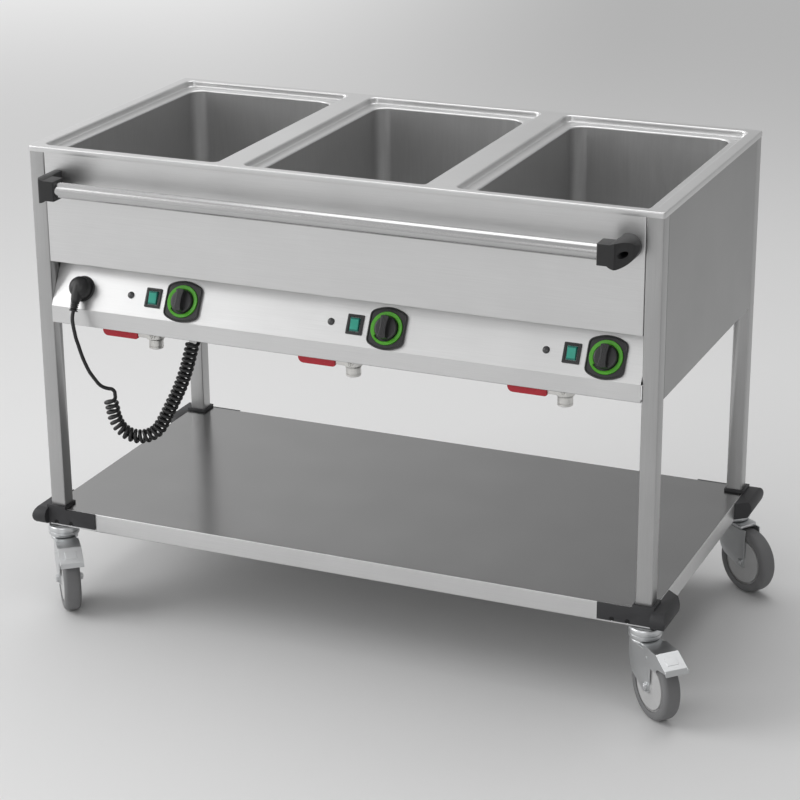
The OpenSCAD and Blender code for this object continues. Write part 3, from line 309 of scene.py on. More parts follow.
def coilPoints(sizes, route):
    steps = route["steps"]
    line = [Vector((p[0], route["planeY"] + route["planeShare"] * (p[0] - route["planeX"]), p[1]))
            for p in smoothLine(route["coilLine"], steps)[:-1]]
    far = [0.0]
    for a, b in zip(line, line[1:]):
        far.append(far[-1] + (b - a).length)

    def lineAt(s):
        s = min(max(s, 0.0), far[-1])
        i = max(1, next((k for k in range(1, len(far)) if far[k] >= s), len(far) - 1))
        return line[i - 1].lerp(line[i], (s - far[i - 1]) / (far[i] - far[i - 1]))

    side = Vector((route["planeShare"], -1, 0)).normalized()
    share = route["hookShare"]
    turns = sizes["curls"] + share + route["endShare"]
    start, end = far[steps], far[len(far) - steps]
    pitch = (end - start) / turns
    found = []
    for k in range(int(turns * sizes["ringsEachCurl"]) + 1):
        t = k / sizes["ringsEachCurl"]
        angle = t - share / 2
        along = start + pitch * t
        if t < share:
            angle = t * t / (2 * share)
            along -= route["hookRise"] * (1 - t / share) ** 2
        if t > turns - share:
            angle = turns - share - (turns - t) ** 2 / (2 * share)
            along += route["hookRise"] * (1 - (turns - t) / share) ** 2
        angle *= 2 * math.pi
        ahead = (lineAt(along + route["lookAhead"]) - lineAt(along - route["lookAhead"])).normalized()
        across = side.cross(ahead)
        outward = math.cos(angle) * across + math.sin(angle) * side
        found.append(lineAt(along) + sizes["curlRadius"] * outward)
    return found


def tubeMesh(name, line, radius, sides, sharp=60):   # radius: a number, or a function of the share along
    headings = [(line[min(i + 1, len(line) - 1)] - line[max(i - 1, 0)]).normalized()
                for i in range(len(line))]
    across = headings[0].orthogonal().normalized()
    points, faces = [], []
    for i, (p, ahead) in enumerate(zip(line, headings)):
        across = (across - across.dot(ahead) * ahead).normalized()
        other = ahead.cross(across)
        r = radius(i / (len(line) - 1)) if callable(radius) else radius
        points += [(p + r * (math.cos(a) * across + math.sin(a) * other)) * mm
                   for a in (2 * math.pi * k / sides for k in range(sides))]
    for i in range(len(line) - 1):
        for k in range(sides):
            a, b = i * sides + k, i * sides + (k + 1) % sides
            faces.append((a, b, b + sides, a + sides))
    faces += [tuple(reversed(range(sides))), tuple(range(len(points) - sides, len(points)))]
    mesh = bpy.data.meshes.new(name)
    mesh.from_pydata(points, [], faces)
    return turnedOut(mesh, sharp, weld=False)


coil = coilPoints(cordSizes, cordRoute)
straightSteps = cordRoute["straightSteps"]
cordLine = smoothLine(cordRoute["lead"], straightSteps)
cordLine += smoothLine(cordRoute["hook"], straightSteps)[1:] + coil
tailStart = [Vector(p) for p in cordRoute["tail"]]
tailStart.insert(0, tailStart[0] - cordSizes["diameter"] * (tailStart[1] - tailStart[0]).normalized())
cordLine += smoothLine(tailStart, straightSteps)
cordLine = [p for i, p in enumerate(cordLine)
            if i == 0 or (p - cordLine[i - 1]).length > cordRoute["closest"]]
cordMesh = tubeMesh("curlyCord", cordLine, cordSizes["diameter"] / 2, cordSizes["sides"])
curlyCord = settle(link("curlyCord", cordMesh), "trolley", "cordSheath",
                   ["cord_lead", "cord_coil", "cord_tail"])


# Shapes used by several pieces
def arcSteps(start, end, steps):
    return [math.radians(start + (end - start) * k / steps) for k in range(steps + 1)]


def ringLoop(w, l, r, z, centre=(0, 0), steps=8):   # a rounded rectangle at one height
    r = max(r, 0.2)
    points = []
    for cx, cy, start in ((1, 1, 0), (-1, 1, 90), (-1, -1, 180), (1, -1, 270)):
        points += [(centre[0] + cx * (w / 2 - r) + r * math.cos(a),
                    centre[1] + cy * (l / 2 - r) + r * math.sin(a), z)
                   for a in arcSteps(start, start + 90, steps)]
    return points


def grownLoops(w, l, r, rows, centre=(0, 0), steps=8):   # rows of (outward offset, height)
    return [ringLoop(w + 2 * o, l + 2 * o, r + o, z, centre, steps) for o, z in rows]


def circleLoop(r, z, count, centre=(0, 0)):
    return [(centre[0] + r * math.cos(a), centre[1] + r * math.sin(a), z)
            for a in (2 * math.pi * k / count for k in range(count))]


def box(halfX, halfY):
    return [(-halfX, -halfY), (halfX, -halfY), (halfX, halfY), (-halfX, halfY)]


class Shell:   # rings of points joined into a skin, in millimetres
    def __init__(self, place=None):
        self.shape = bmesh.new()
        self.place = place or Matrix.Identity(4)

    def ring(self, loop):
        return [self.shape.verts.new((self.place @ Vector(p)) * mm) for p in loop]

    def skin(self, loops, closed=True):
        rings = [self.ring(loop) for loop in loops]
        for a, b in zip(rings, rings[1:]):
            for i in range(len(a) if closed else len(a) - 1):
                j = (i + 1) % len(a)
                self.shape.faces.new((a[i], a[j], b[j], b[i]))
        return rings

    def cap(self, ring, flip=False):
        self.shape.faces.new(list(reversed(ring)) if flip else ring)

    def fill(self, *rings):   # a flat face with holes
        edges = [self.shape.edges.get((r[i], r[(i + 1) % len(r)]))
                 or self.shape.edges.new((r[i], r[(i + 1) % len(r)])) for r in rings for i in range(len(r))]
        bmesh.ops.triangle_fill(self.shape, use_beauty=True, use_dissolve=False, edges=edges)

    def lathe(self, profile, count=64):   # profile of (radius, height), where a radius of 0 is a pole
        last = None
        for r, z in profile:
            ring = self.ring(circleLoop(r, z, count)) if r else self.ring([(0, 0, z)]) * count
            for i in range(count if last else 0):
                j = (i + 1) % count
                self.shape.faces.new(list(dict.fromkeys((last[i], last[j], ring[j], ring[i]))))
            last = ring

    def prism(self, outline, low, high, bevel, segments=2):   # a flat outline given thickness
        lower = self.ring([(x, y, low) for x, y in outline])
        upper = self.ring([(x, y, high) for x, y in outline])
        faces = [self.shape.faces.new(lower), self.shape.faces.new(upper)]
        for i in range(len(outline)):
            j = (i + 1) % len(outline)
            faces.append(self.shape.faces.new((lower[i], lower[j], upper[j], upper[i])))
        bmesh.ops.recalc_face_normals(self.shape, faces=faces)
        edges = [e for e in dict.fromkeys(e for f in faces for e in f.edges)
                 if e.calc_face_angle(0) > math.radians(30)]
        bmesh.ops.bevel(self.shape, geom=edges, offset=bevel * mm, offset_type="OFFSET",
                        segments=segments, profile=0.5, affect="EDGES", clamp_overlap=True)

    def mesh(self, name, sharp=40, thick=0.0, evenly=True, outwards=True):   # thick: + outwards, - inwards
        bmesh.ops.remove_doubles(self.shape, verts=self.shape.verts, dist=weldWithin)
        if outwards:
            bmesh.ops.recalc_face_normals(self.shape, faces=self.shape.faces)
        piece = link(name, smoothed(self.shape, bpy.data.meshes.new(name), sharp))
        if thick:
            modify(piece, "sheet", "SOLIDIFY", thickness=abs(thick) * mm, offset=1 if thick > 0 else -1,
                   use_even_offset=True)
        if evenly:
            modify(piece, "even", "WEIGHTED_NORMAL", keep_sharp=True, weight=80)
        if thick or evenly:
            bakeModifiers(piece)
        return piece


def edgeArc(offset, z, radius, start, end, steps=4):   # (offset, height) pairs of a rounded edge
    return [(offset + radius * math.cos(a), z + radius * math.sin(a)) for a in arcSteps(start, end, steps)]


def axes(xAxis, yAxis, zAxis, origin):
    return Matrix((
        (xAxis[0], yAxis[0], zAxis[0], origin[0]),
        (xAxis[1], yAxis[1], zAxis[1], origin[1]),
        (xAxis[2], yAxis[2], zAxis[2], origin[2]),
        (0, 0, 0, 1)))


def facingFront(x=0, y=0, z=0):   # a drawing stood up: X to the right, Y up, Z towards the handle side
    return axes((1, 0, 0), (0, 0, 1), (0, -1, 0), (x, y, z))


slope = {"lipY": -300, "foldZ": 602, "lean": math.radians(28.4), "controls": 38}
wellX = (-400, 0, 400)
wellNames = ("left", "middle", "right")


def onSlope(x):   # a place on the controls' line: X along the trolley, Y up the slope, Z out of it
    up, lean = slope["controls"], slope["lean"]
    return Matrix.Translation((x, slope["lipY"] + up * math.sin(lean), slope["foldZ"] + up * math.cos(lean))) \
        @ Matrix.Rotation(math.pi / 2 - lean, 4, "X")


castors = {   # where the swivel axis stands, and how far the castor is turned, in degrees
    "front_left": ((-581.3, -280.8), -52), "front_right": ((581.3, -280.8), -43),
    "rear_left": ((-581.3, 280.8), 140), "rear_right": ((581.3, 280.8), -32),
}


def atCastor(name):
    (x, y), turn = castors[name]
    return Matrix.Translation((x, y, 0)) @ Matrix.Rotation(math.radians(turn), 4, "Z")


# Deck and wells
deck = {
    "width": 1195, "depth": 594, "top": 900, "rim": 10, "corner": 5, "edge": 2.6,
    "recess": (350, 556), "recessCorner": 14, "drop": 12, "recessEdge": 3.2,
    "mouth": (304, 510), "mouthCorner": 28, "mouthEdge": 3.4, "sheet": 1.2,
    "wellFloor": 688, "floorEdge": 18,
    "drain": (9, -227.5, 7.5),                             # x, y and radius
    "drainSteps": ((2.3, 0), (2.1, 1), (1, 1), (1, 6)),    # (share of the radius, depth)
}


def makeDeck(d):
    shell = Shell()
    e, top = d["edge"], d["top"]
    outer = [(0, top - d["rim"])] + edgeArc(-e, top - e, e, 0, 90)
    rim = shell.skin(grownLoops(d["width"], d["depth"], d["corner"], outer))[-1]
    ledge, e, f = top - d["drop"], d["recessEdge"], d["mouthEdge"]
    wall = edgeArc(e, top - e, e, 90, 180) + edgeArc(-e, ledge + e, e, 0, -90)
    mouth = edgeArc(f, ledge - f, f, 90, 180)
    holes = [shell.skin(grownLoops(*d["recess"], d["recessCorner"], wall, (x, 0))
                        + grownLoops(*d["mouth"], d["mouthCorner"], mouth, (x, 0)))[0] for x in wellX]
    shell.fill(rim, *holes)
    settle(shell.mesh("deckSheet", sharp=50, thick=-d["sheet"]),
           "trolley", "sheetSteelAcross", ["top_deck"])


def makeWell(d, name, x):
    shell = Shell()
    low, r = d["wellFloor"], d["floorEdge"]
    wall = [(0, d["top"] - d["drop"] - d["mouthEdge"])] + edgeArc(-r, low + r, r, 0, -90, 6)
    rows = shell.skin(grownLoops(*d["mouth"], d["mouthCorner"], wall, (x, 0)))
    dx, dy, dr = d["drain"]
    drain = shell.skin([circleLoop(dr * k, low - drop, 36, (x + dx, dy)) for k, drop in d["drainSteps"]])
    shell.fill(rows[-1], drain[0])
    settle(shell.mesh("wellTank_" + name, sharp=50, thick=d["sheet"]),
           "trolley", "drawnSteel", ["well_" + name])


makeDeck(deck)
for name, x in zip(wellNames, wellX):
    makeWell(deck, name, x)
print("deck and wells made")


# Body panels
panels = {
    "edge": 1.6, "corner": 1.8, "return": 9, "sheet": 1.2, "gap": 0.3,
    "top": 898.8, "low": 569, "frontLow": 685.5,
    "gapX": 566.3, "gapY": 265.8,     # half the space between the legs
    "faceX": 596.3, "faceY": 295.8,   # half the size over the faces
}


def foldedPan(name, node, half, low, out, finish, p=panels):   # out: where the face looks, as (x, y)
    place = axes((-out[1], out[0], 0), (0, 0, 1), (*out, 0),
                 (out[0] * p["faceX"], out[1] * p["faceY"], (p["top"] + low) / 2))
    shell = Shell(place)
    e = p["edge"]
    rows = [(0, -p["return"])] + edgeArc(-e, -e, e, 0, 90)
    rings = shell.skin(grownLoops(2 * (half - p["gap"]), p["top"] - low, p["corner"], rows, steps=4))
    shell.cap(rings[-1])
    settle(shell.mesh(name, sharp=50, thick=-p["sheet"]), "trolley", finish, [node])


for name, node, half, low, out, finish in (
        ("frontPanelSheet", "front_panel", "gapX", "frontLow", (0, -1), "sheetSteelAcross"),
        ("rearPanelSheet", "rear_panel", "gapX", "low", (0, 1), "sheetSteelAcross"),
        # the side panels take the darker steel: painted shade
        ("sidePanelSheet_left", "side_panel_left", "gapY", "low", (-1, 0), "sheetSteelShadedSides"),
        ("sidePanelSheet_right", "side_panel_right", "gapY", "low", (1, 0), "sheetSteelShadedSides")):
    foldedPan(name, node, panels[half], panels[low], out, finish)


# A sheet bent along X, from -half to half, with its profile as (y, z)
def foldedStrip(name, profile, bend, sheet, half, steps=5, place=None, evenly=True):
    line = []
    for i, p in enumerate(profile):
        p = Vector(p)
        if i in (0, len(profile) - 1):
            line.append(p)
            continue
        before, after = (Vector(profile[i - 1]) - p).normalized(), (Vector(profile[i + 1]) - p).normalized()
        fold = before.angle(after) / 2
        cut = bend / math.tan(fold)
        centre = p + (before + after).normalized() * (bend / math.sin(fold))
        first, second = p + before * cut - centre, p + after * cut - centre
        whole = first.angle(second)
        for k in range(steps + 1):
            t = k / steps
            swung = first * math.sin((1 - t) * whole) + second * math.sin(t * whole)
            line.append(centre + swung / math.sin(whole))
    back = []
    for i, p in enumerate(line):
        ahead = (line[min(i + 1, len(line) - 1)] - line[max(i - 1, 0)]).normalized()
        back.append(p + Vector((ahead.y, -ahead.x)) * sheet)
    loop = line + back[::-1]
    shell = Shell(place)
    rings = shell.skin([[(x, p[0], p[1]) for p in loop] for x in (-half, half)])
    count = len(line)
    for ring in rings:
        for i in range(count - 1):
            shell.shape.faces.new((ring[i], ring[i + 1], ring[2 * count - 2 - i], ring[2 * count - 1 - i]))
    return shell.mesh(name, sharp=50, evenly=evenly)


control = {"profile": [(-288, 569.6), (-300, 569.6), (-300, 602), (-254.96, 685.3), (-293, 685.3)],
           "bend": 1.8, "sheet": 1.2, "end": 565.9}
settle(foldedStrip("controlPanelSheet", control["profile"], control["bend"], control["sheet"],
                   control["end"]),
       "trolley", "sheetSteelAcross", ["control_panel"])

shelf = {
    "width": 1199, "depth": 599, "top": 195, "lip": 36, "flange": 9, "corner": 3, "edge": 2, "sheet": 1.2,
    "lipTo": 70,   # degrees of the rounded edge that belong to the lip
    "post": 30, "postCorner": 3, "postLow": 158.5, "postUnder": 2,
}


def makeShelf(d):
    e, low, top = d["edge"], d["top"] - d["lip"], d["top"]
    lip = [(-d["flange"], low)] + edgeArc(-e, low + e, e, -90, 0) + edgeArc(-e, top - e, e, 0, d["lipTo"])
    face = edgeArc(-e, top - e, e, d["lipTo"], 90, 2)
    # the shelf's top takes the darker steel as painted shade; the lip keeps the deck's sheet
    for name, finish, rows in (("shelfLip", "sheetSteelAcross", lip),
                               ("lowerShelfSheet", "shelfSteelShaded", face)):
        shell = Shell()
        rings = shell.skin(grownLoops(d["width"], d["depth"], d["corner"], rows, steps=6))
        if rows is face:
            shell.cap(rings[-1])
        piece = shell.mesh(name, sharp=50, outwards=False)
        modify(piece, "sheet", "SOLIDIFY", thickness=d["sheet"] * mm, offset=-1, use_even_offset=True)
        settle(bakeModifiers(piece), "trolley", finish, ["lower_shelf"])
    posts, side, foot = Shell(), d["post"], d["postLow"]
    rows = ((4, foot), (0.3, foot + 0.3), (0, foot + 1), (0, top - d["postUnder"]))
    for name in castors:
        rings = posts.skin([ringLoop(side - 2 * o, side - 2 * o, d["postCorner"], z, castors[name][0])
                            for o, z in rows])
        posts.cap(rings[0], True)
    # the castor posts take the darker upright steel: painted shade
    settle(posts.mesh("castorPosts"), "trolley", "sheetSteelShadedUpright")


makeShelf(shelf)


def legEdge(e, p=panels):   # only the four upright edges of a leg's corners
    a, b = e.verts[0].co / mm, e.verts[1].co / mm
    upright = abs(a.x - b.x) < 0.01 and abs(a.y - b.y) < 0.01
    return upright and min(abs(abs(a.x) - v) for v in (p["gapX"], p["faceX"])) < 0.05 \
        and min(abs(abs(a.y) - v) for v in (p["gapY"], p["faceY"])) < 0.05


# the legs take the darker upright steel: painted shade
for place in castors:
    softened("leg_" + place, "legTube_" + place, "trolley", "sheetSteelShadedUpright",
             width=2.6, segments=4, pick=legEdge)
print("frame and panels made")

# Handle
handle = {"radius": 14, "bore": 12.5, "half": 528, "y": -350.5, "z": 840}
rod = Shell(axes((0, 1, 0), (0, 0, 1), (1, 0, 0), (0, handle["y"], handle["z"])))
corners = (("bore", -1), ("radius", -1), ("radius", 1), ("bore", 1), ("bore", -1))
rod.lathe([(handle[edge], sign * handle["half"]) for edge, sign in corners], 72)
settle(rod.mesh("handleTube", sharp=50), "trolley", "polishedTube", ["handle_bar"])
for side in ("left", "right"):
    softened("handle_bracket_" + side, "handleBracket_" + side, "trolley", "blackNylon",
             width=1.6, segments=4, fromAngle=20)
softened("corner_bumpers", "cornerBumpers", "trolley", "bumperRubber", width=1.2, segments=3)


def joined(name, pieces, sharp=40):   # several closed forms kept as one piece
    shape = bmesh.new()
    for piece in pieces:
        spare = piece.data
        shape.from_mesh(spare)
        bpy.data.objects.remove(piece)
        bpy.data.meshes.remove(spare)
    piece = link(name, smoothed(shape, bpy.data.meshes.new(name), sharp))
    modify(piece, "even", "WEIGHTED_NORMAL", keep_sharp=True, weight=80)
    return bakeModifiers(piece)


# Geometry Nodes: a tree starts from places, has named sizes, and ends in Realize Instances and Set Material
def startTree(name, sizes):
    tree = bpy.data.node_groups.new(name, "GeometryNodeTree")
    tree.interface.new_socket("Places", in_out="INPUT", socket_type="NodeSocketGeometry")
    for label, value in sizes.items():
        tree.interface.new_socket(label, in_out="INPUT", socket_type="NodeSocketFloat").default_value = value
    tree.interface.new_socket("Finish", in_out="INPUT", socket_type="NodeSocketMaterial")
    tree.interface.new_socket("Made", in_out="OUTPUT", socket_type="NodeSocketGeometry")
    return tree, tree.nodes.new("NodeGroupInput").outputs


def endTree(tree, given, made):
    real = add(tree, "GeometryNodeRealizeInstances", {"Geometry": made})
    done = add(tree, "GeometryNodeSetMaterial", {"Geometry": real.outputs[0], "Material": given["Finish"]})
    add(tree, "NodeGroupOutput", {"Made": done.outputs[0]})
    return tree


def scatterAndEnd(tree, given, unit):   # one unit on every place, its Z along the place's heading
    heading, size = (add(tree, "GeometryNodeInputNamedAttribute", values={"Name": name},
                         data_type="FLOAT_VECTOR").outputs["Attribute"] for name in ("heading", "size"))
    turn = add(tree, "FunctionNodeAlignRotationToVector", {"Vector": heading}, axis="Z")
    placed = add(tree, "GeometryNodeInstanceOnPoints", {
        "Points": given["Places"], "Instance": unit, "Rotation": turn.outputs[0], "Scale": size})
    return endTree(tree, given, placed.outputs["Instances"])


def boxOf(tree, x, y, z):
    size = add(tree, "ShaderNodeCombineXYZ", {"X": x, "Y": y, "Z": z})
    return add(tree, "GeometryNodeMeshCube", {"Size": size.outputs[0]}).outputs["Mesh"]


def screwTree():   # pan heads with a cross recess, on a plain shank
    tree, given = startTree("crossHeadScrews", {
        "Head Radius": 4 * mm, "Head Height": 1.7 * mm, "Shank Radius": 1.9 * mm, "Shank Length": 9 * mm,
        "Slot Length": 4.4 * mm, "Slot Width": 0.9 * mm, "Slot Depth": 1.6 * mm})
    ball = add(tree, "GeometryNodeMeshUVSphere",
               values={"Segments": 32, "Rings": 16, "Radius": 1.0}).outputs["Mesh"]
    wide = add(tree, "ShaderNodeCombineXYZ", {
        "X": given["Head Radius"], "Y": given["Head Radius"], "Z": given["Head Height"]}).outputs[0]
    head = add(tree, "GeometryNodeTransform", {"Geometry": ball, "Scale": wide}).outputs[0]
    up = add(tree, "ShaderNodeCombineXYZ", {"Z": given["Head Height"]}).outputs[0]
    cut = add(tree, "GeometryNodeMeshBoolean", {"Mesh 1": head}, operation="DIFFERENCE", solver="EXACT")
    for x, y in (("Slot Length", "Slot Width"), ("Slot Width", "Slot Length")):
        slot = boxOf(tree, given[x], given[y], given["Slot Depth"])
        raised = add(tree, "GeometryNodeTransform", {"Geometry": slot, "Translation": up})
        tree.links.new(raised.outputs[0], cut.inputs["Mesh 2"])
    shank = add(tree, "GeometryNodeMeshCylinder", {
        "Radius": given["Shank Radius"], "Depth": given["Shank Length"]}, {"Vertices": 16})
    half = add(tree, "ShaderNodeMath", {0: given["Shank Length"]}, {1: -0.5}, operation="MULTIPLY")
    low = add(tree, "ShaderNodeCombineXYZ", {"Z": half.outputs[0]}).outputs[0]
    shank = add(tree, "GeometryNodeTransform", {"Geometry": shank.outputs["Mesh"], "Translation": low})
    both = tree.nodes.new("GeometryNodeJoinGeometry")
    for part in (shank.outputs[0], cut.outputs["Mesh"]):
        tree.links.new(part, both.inputs[0])
    return scatterAndEnd(tree, given, both.outputs[0])


def ribTree():   # round ribs threaded on a line
    tree, given = startTree("reliefRibs", {"Rib Radius": 6.4 * mm, "Rib Thickness": 1.0 * mm})
    hoop, bead = (add(tree, "GeometryNodeCurvePrimitiveCircle", {"Radius": given[size]},
                      {"Resolution": sides}).outputs["Curve"]
                  for size, sides in (("Rib Radius", 40), ("Rib Thickness", 12)))
    rib = add(tree, "GeometryNodeCurveToMesh", {"Curve": hoop, "Profile Curve": bead})
    return scatterAndEnd(tree, given, rib.outputs["Mesh"])


def strainerTree():   # a thin disc pierced by a round pattern of holes, whose places come with it
    tree, given = startTree("drainStrainer", {
        "Disc Radius": 17 * mm, "Disc Thickness": 1.2 * mm, "Hole Radius": 1.6 * mm, "Punch Length": 8 * mm})
    disc = add(tree, "GeometryNodeMeshCylinder", {
        "Radius": given["Disc Radius"], "Depth": given["Disc Thickness"]}, {"Vertices": 48})
    punch = add(tree, "GeometryNodeMeshCylinder", {
        "Radius": given["Hole Radius"], "Depth": given["Punch Length"]}, {"Vertices": 12})
    holes = add(tree, "GeometryNodeInstanceOnPoints", {
        "Points": given["Places"], "Instance": punch.outputs["Mesh"]})
    holes = add(tree, "GeometryNodeRealizeInstances", {"Geometry": holes.outputs["Instances"]})
    cut = add(tree, "GeometryNodeMeshBoolean", {"Mesh 1": disc.outputs["Mesh"], "Mesh 2": holes.outputs[0]},
              operation="DIFFERENCE", solver="EXACT")
    return endTree(tree, given, cut.outputs["Mesh"])


def grown(name, tree, places, finish, sizes=None, sharp=40):   # places: (point, heading, size) in millimetres
    mesh = bpy.data.meshes.new(name)
    mesh.from_pydata([Vector(place[0]) * mm for place in places], [], [])
    for label, k in (("heading", 1), ("size", 2)):
        layer = mesh.attributes.new(label, "FLOAT_VECTOR", "POINT")
        for i, place in enumerate(places):
            layer.data[i].vector = place[k]
    piece = link(name, mesh)
    grow = piece.modifiers.new("grow", "NODES")
    grow.node_group = tree
    for socket in tree.interface.items_tree:
        if socket.in_out == "INPUT" and socket.name in (sizes or {}):
            grow[socket.identifier] = sizes[socket.name] * mm
        if socket.in_out == "INPUT" and socket.name == "Finish":
            grow[socket.identifier] = finishes[finish]
    bakeModifiers(piece)
    turnedOut(piece.data, sharp)
    return piece


trees = {"screws": screwTree(), "ribs": ribTree(), "strainer": strainerTree()}

screws = {
    "bumperHeads": (555.5, 527, -583, -551.5),   # x on the handle side
    "bumperY": 300.7, "bumperZ": 168,
    "bracketX": 545, "bracketY": -303.8, "bracketZ": 838.5,
    "bracketSizes": {"Head Radius": 4.5, "Head Height": 2.8, "Shank Radius": 2.4, "Shank Length": 20,
                     "Slot Length": 5.2},
}
asDrawn = (1, 1, 1)   # a size that changes nothing
bumperPlaces = []
for x in screws["bumperHeads"]:   # each corner has its twin across the middle of the trolley
    for sign in (-1, 1):
        bumperPlaces.append(((-sign * x, sign * screws["bumperY"], screws["bumperZ"]), (0, sign, 0), asDrawn))
bracketPlaces = [((sign * screws["bracketX"], screws["bracketY"], screws["bracketZ"]), (0, -1, 0), asDrawn)
                 for sign in (-1, 1)]
# dark matt screw heads: black oxide, and painted shade of the screw recesses
settle(joined("fixingScrews", [
    grown("bumperScrews", trees["screws"], bumperPlaces, "blackOxideRecessShade"),
    grown("bracketScrews", trees["screws"], bracketPlaces, "blackOxideRecessShade", screws["bracketSizes"])]),
    "trolley", "blackOxideRecessShade", ["fixing_screws"])

# Controls on the slope
surround = {
    "at": 100, "width": 70, "height": 76, "arc": 60, "corner": 12, "thick": 4, "lip": 2, "lipWidth": 3.2,
    "ringOut": 29.5, "ringIn": 22, "ringSunk": 2, "ringHeight": 4.6, "gap": 0.25,
    "wedgeFrom": 214, "wedgeTo": 305, "wedgeDepth": 3.4,   # where the ring widens inwards, in degrees
    "ringSteps": 180,
}


def barrelLoop(inset, z, d=surround, cornerSteps=8, bowSteps=14):   # upright sides, bowed top and bottom
    r = max(d["corner"] - inset, 1.2)
    x = d["width"] / 2 - inset - r
    bow, low = d["arc"] - inset - r, d["arc"] - d["height"] / 2
    y = math.sqrt(bow * bow - x * x) - low
    lean = math.atan2(y + low, x)
    quarter = [(x + r * math.cos(lean * k / cornerSteps), y + r * math.sin(lean * k / cornerSteps))
               for k in range(cornerSteps + 1)]
    top = [((bow + r) * math.cos(a), (bow + r) * math.sin(a) - low)
           for a in (lean + (math.pi - 2 * lean) * k / bowSteps for k in range(1, bowSteps))]
    upper = quarter + top + [(-px, py) for px, py in reversed(quarter)]
    return [(px, py, z) for px, py in upper] + [(-px, -py, z) for px, py in upper]


def makeSurrounds(d=surround):
    shell = Shell()
    top, face, seat = d["thick"] + d["lip"], d["thick"], d["thick"] - d["ringSunk"]
    rows = [(0, 0), (0, top - 2.2), (0.25, top - 1.2), (0.9, top - 0.4), (1.7, top), (2.4, top - 0.15),
            (d["lipWidth"], top - 0.9), (d["lipWidth"] + 0.5, face), (d["lipWidth"] + 1.2, face)]
    wide, narrow = d["ringOut"] + d["gap"], d["ringIn"] - d["gap"]
    well = [(d["ringOut"] + 0.5, face), (wide, face - 0.3), (wide, seat),
            (narrow, seat), (narrow, face - 0.2), (d["ringIn"] - 0.5, face)]
    for x in wellX:
        shell.place = onSlope(x + d["at"])
        outline = shell.skin([barrelLoop(inset, z) for inset, z in rows])
        shell.cap(outline[0], True)
        groove = shell.skin([circleLoop(r, z, 96) for r, z in well])
        shell.fill(outline[-1], groove[0])
        shell.cap(groove[-1])
    settle(shell.mesh("thermostatSurrounds", sharp=42),
           "trolley", "blackGloss", ["thermostat_bezels"])


# The ring's inner edge steps inwards at the lower left and eases back, as a heat scale does
def makeRings(d=surround):
    shell = Shell()
    base, count = d["thick"] - d["ringSunk"], d["ringSteps"]
    top = base + d["ringHeight"]
    profile = [(0, base), (0, top - 1.0), (0.15, top - 0.35), (0.6, top), (5.9, top - 0.5), (6.9, top - 0.9),
               (7.4, top - 1.5), (7.5, base)]
    for x in wellX:
        shell.place = onSlope(x + d["at"])
        rows = []
        for inset, z in profile + profile[:1]:
            share = inset / (d["ringOut"] - d["ringIn"])
            row = []
            for k in range(count):
                angle = 360 * k / count
                inWedge = d["wedgeFrom"] < angle < d["wedgeTo"]
                wedge = d["wedgeDepth"] * (d["wedgeTo"] - angle) / (d["wedgeTo"] - d["wedgeFrom"])
                r = d["ringOut"] - inset + (wedge if inWedge else 0) * share
                row.append((r * math.cos(math.radians(angle)), r * math.sin(math.radians(angle)), z))
            rows.append(row)
        shell.skin(rows)
    settle(shell.mesh("glowRings", sharp=50), "trolley", "greenPolycarbonate", ["glow_rings"])


knobShape = {
    "radius": 21, "foot": 4.3, "rise": 12, "top": 23.3, "waist": 5.6, "end": 8.6, "shaft": 3, "shaftLow": -12,
    "ribs": (-2.6, 0, 2.6), "ribHalf": 0.45, "ribUp": 0.5, "ribShort": 2.5, "bridgeSteps": 24,
}


def makeKnob(name, x, d=knobShape):
    shell = Shell(onSlope(x + surround["at"]))
    r, foot, rise = d["radius"], d["foot"], d["rise"]
    shell.lathe([(0, d["shaftLow"]), (d["shaft"], d["shaftLow"]), (d["shaft"], foot), (r - 1.2, foot),
                 (r, foot + 0.8), (r, rise - 2.6), (r - 0.5, rise - 1.3), (r - 1.6, rise - 0.4),
                 (r - 3.2, rise), (0, rise)], 96)
    reach, side = r - 0.5, []
    for k in range(d["bridgeSteps"] + 1):
        y = reach * (1 - k / (d["bridgeSteps"] / 2))
        w = d["waist"] + (d["end"] - d["waist"]) * (y / reach) ** 2
        side.append((min(w, math.sqrt(max(reach ** 2 - y ** 2, 0)) + 2.4), y))
    shell.prism(side + [(-px, py) for px, py in reversed(side)], rise - 1, d["top"], 1.2, 4)
    for at in d["ribs"]:
        rib = [(at + px, py) for px, py in box(d["ribHalf"], reach - d["ribShort"])]
        shell.prism(rib, d["top"] - 1, d["top"] + d["ribUp"], 0.25)
    settle(shell.mesh("controlKnob_" + name, sharp=42),
           "knob_" + name, "blackGloss", ["knob_" + name])


switch = {
    "at": 38.5, "frame": (31, 36), "thick": 2.4, "pocket": (19, 25.4), "deep": -8,
    "body": (12, 14), "bodyLow": -19, "lens": 18.4, "lensFace": 16.0, "half": 12.2, "tilt": 7, "pivot": 0.8,
    "dip": 1.2, "crest": 4.6,   # how far the lens is hollowed, and how high it stands
    "rounding": ((1, 0, 2.6), (1, -0.3, 1.2), (1, -1.2, 0.3), (1, -2.2, 0), (0.55, 0, 0), (0.25, 0, 0)),
    "faceShort": 3.4, "faceSteps": 12, "faceUp": 0.55, "faceEndUp": 0.1,
}
lamp = {"at": -7.6, "radius": 5.25, "ring": 6.45, "up": 3.2, "stem": 4.4, "stemLow": -18}


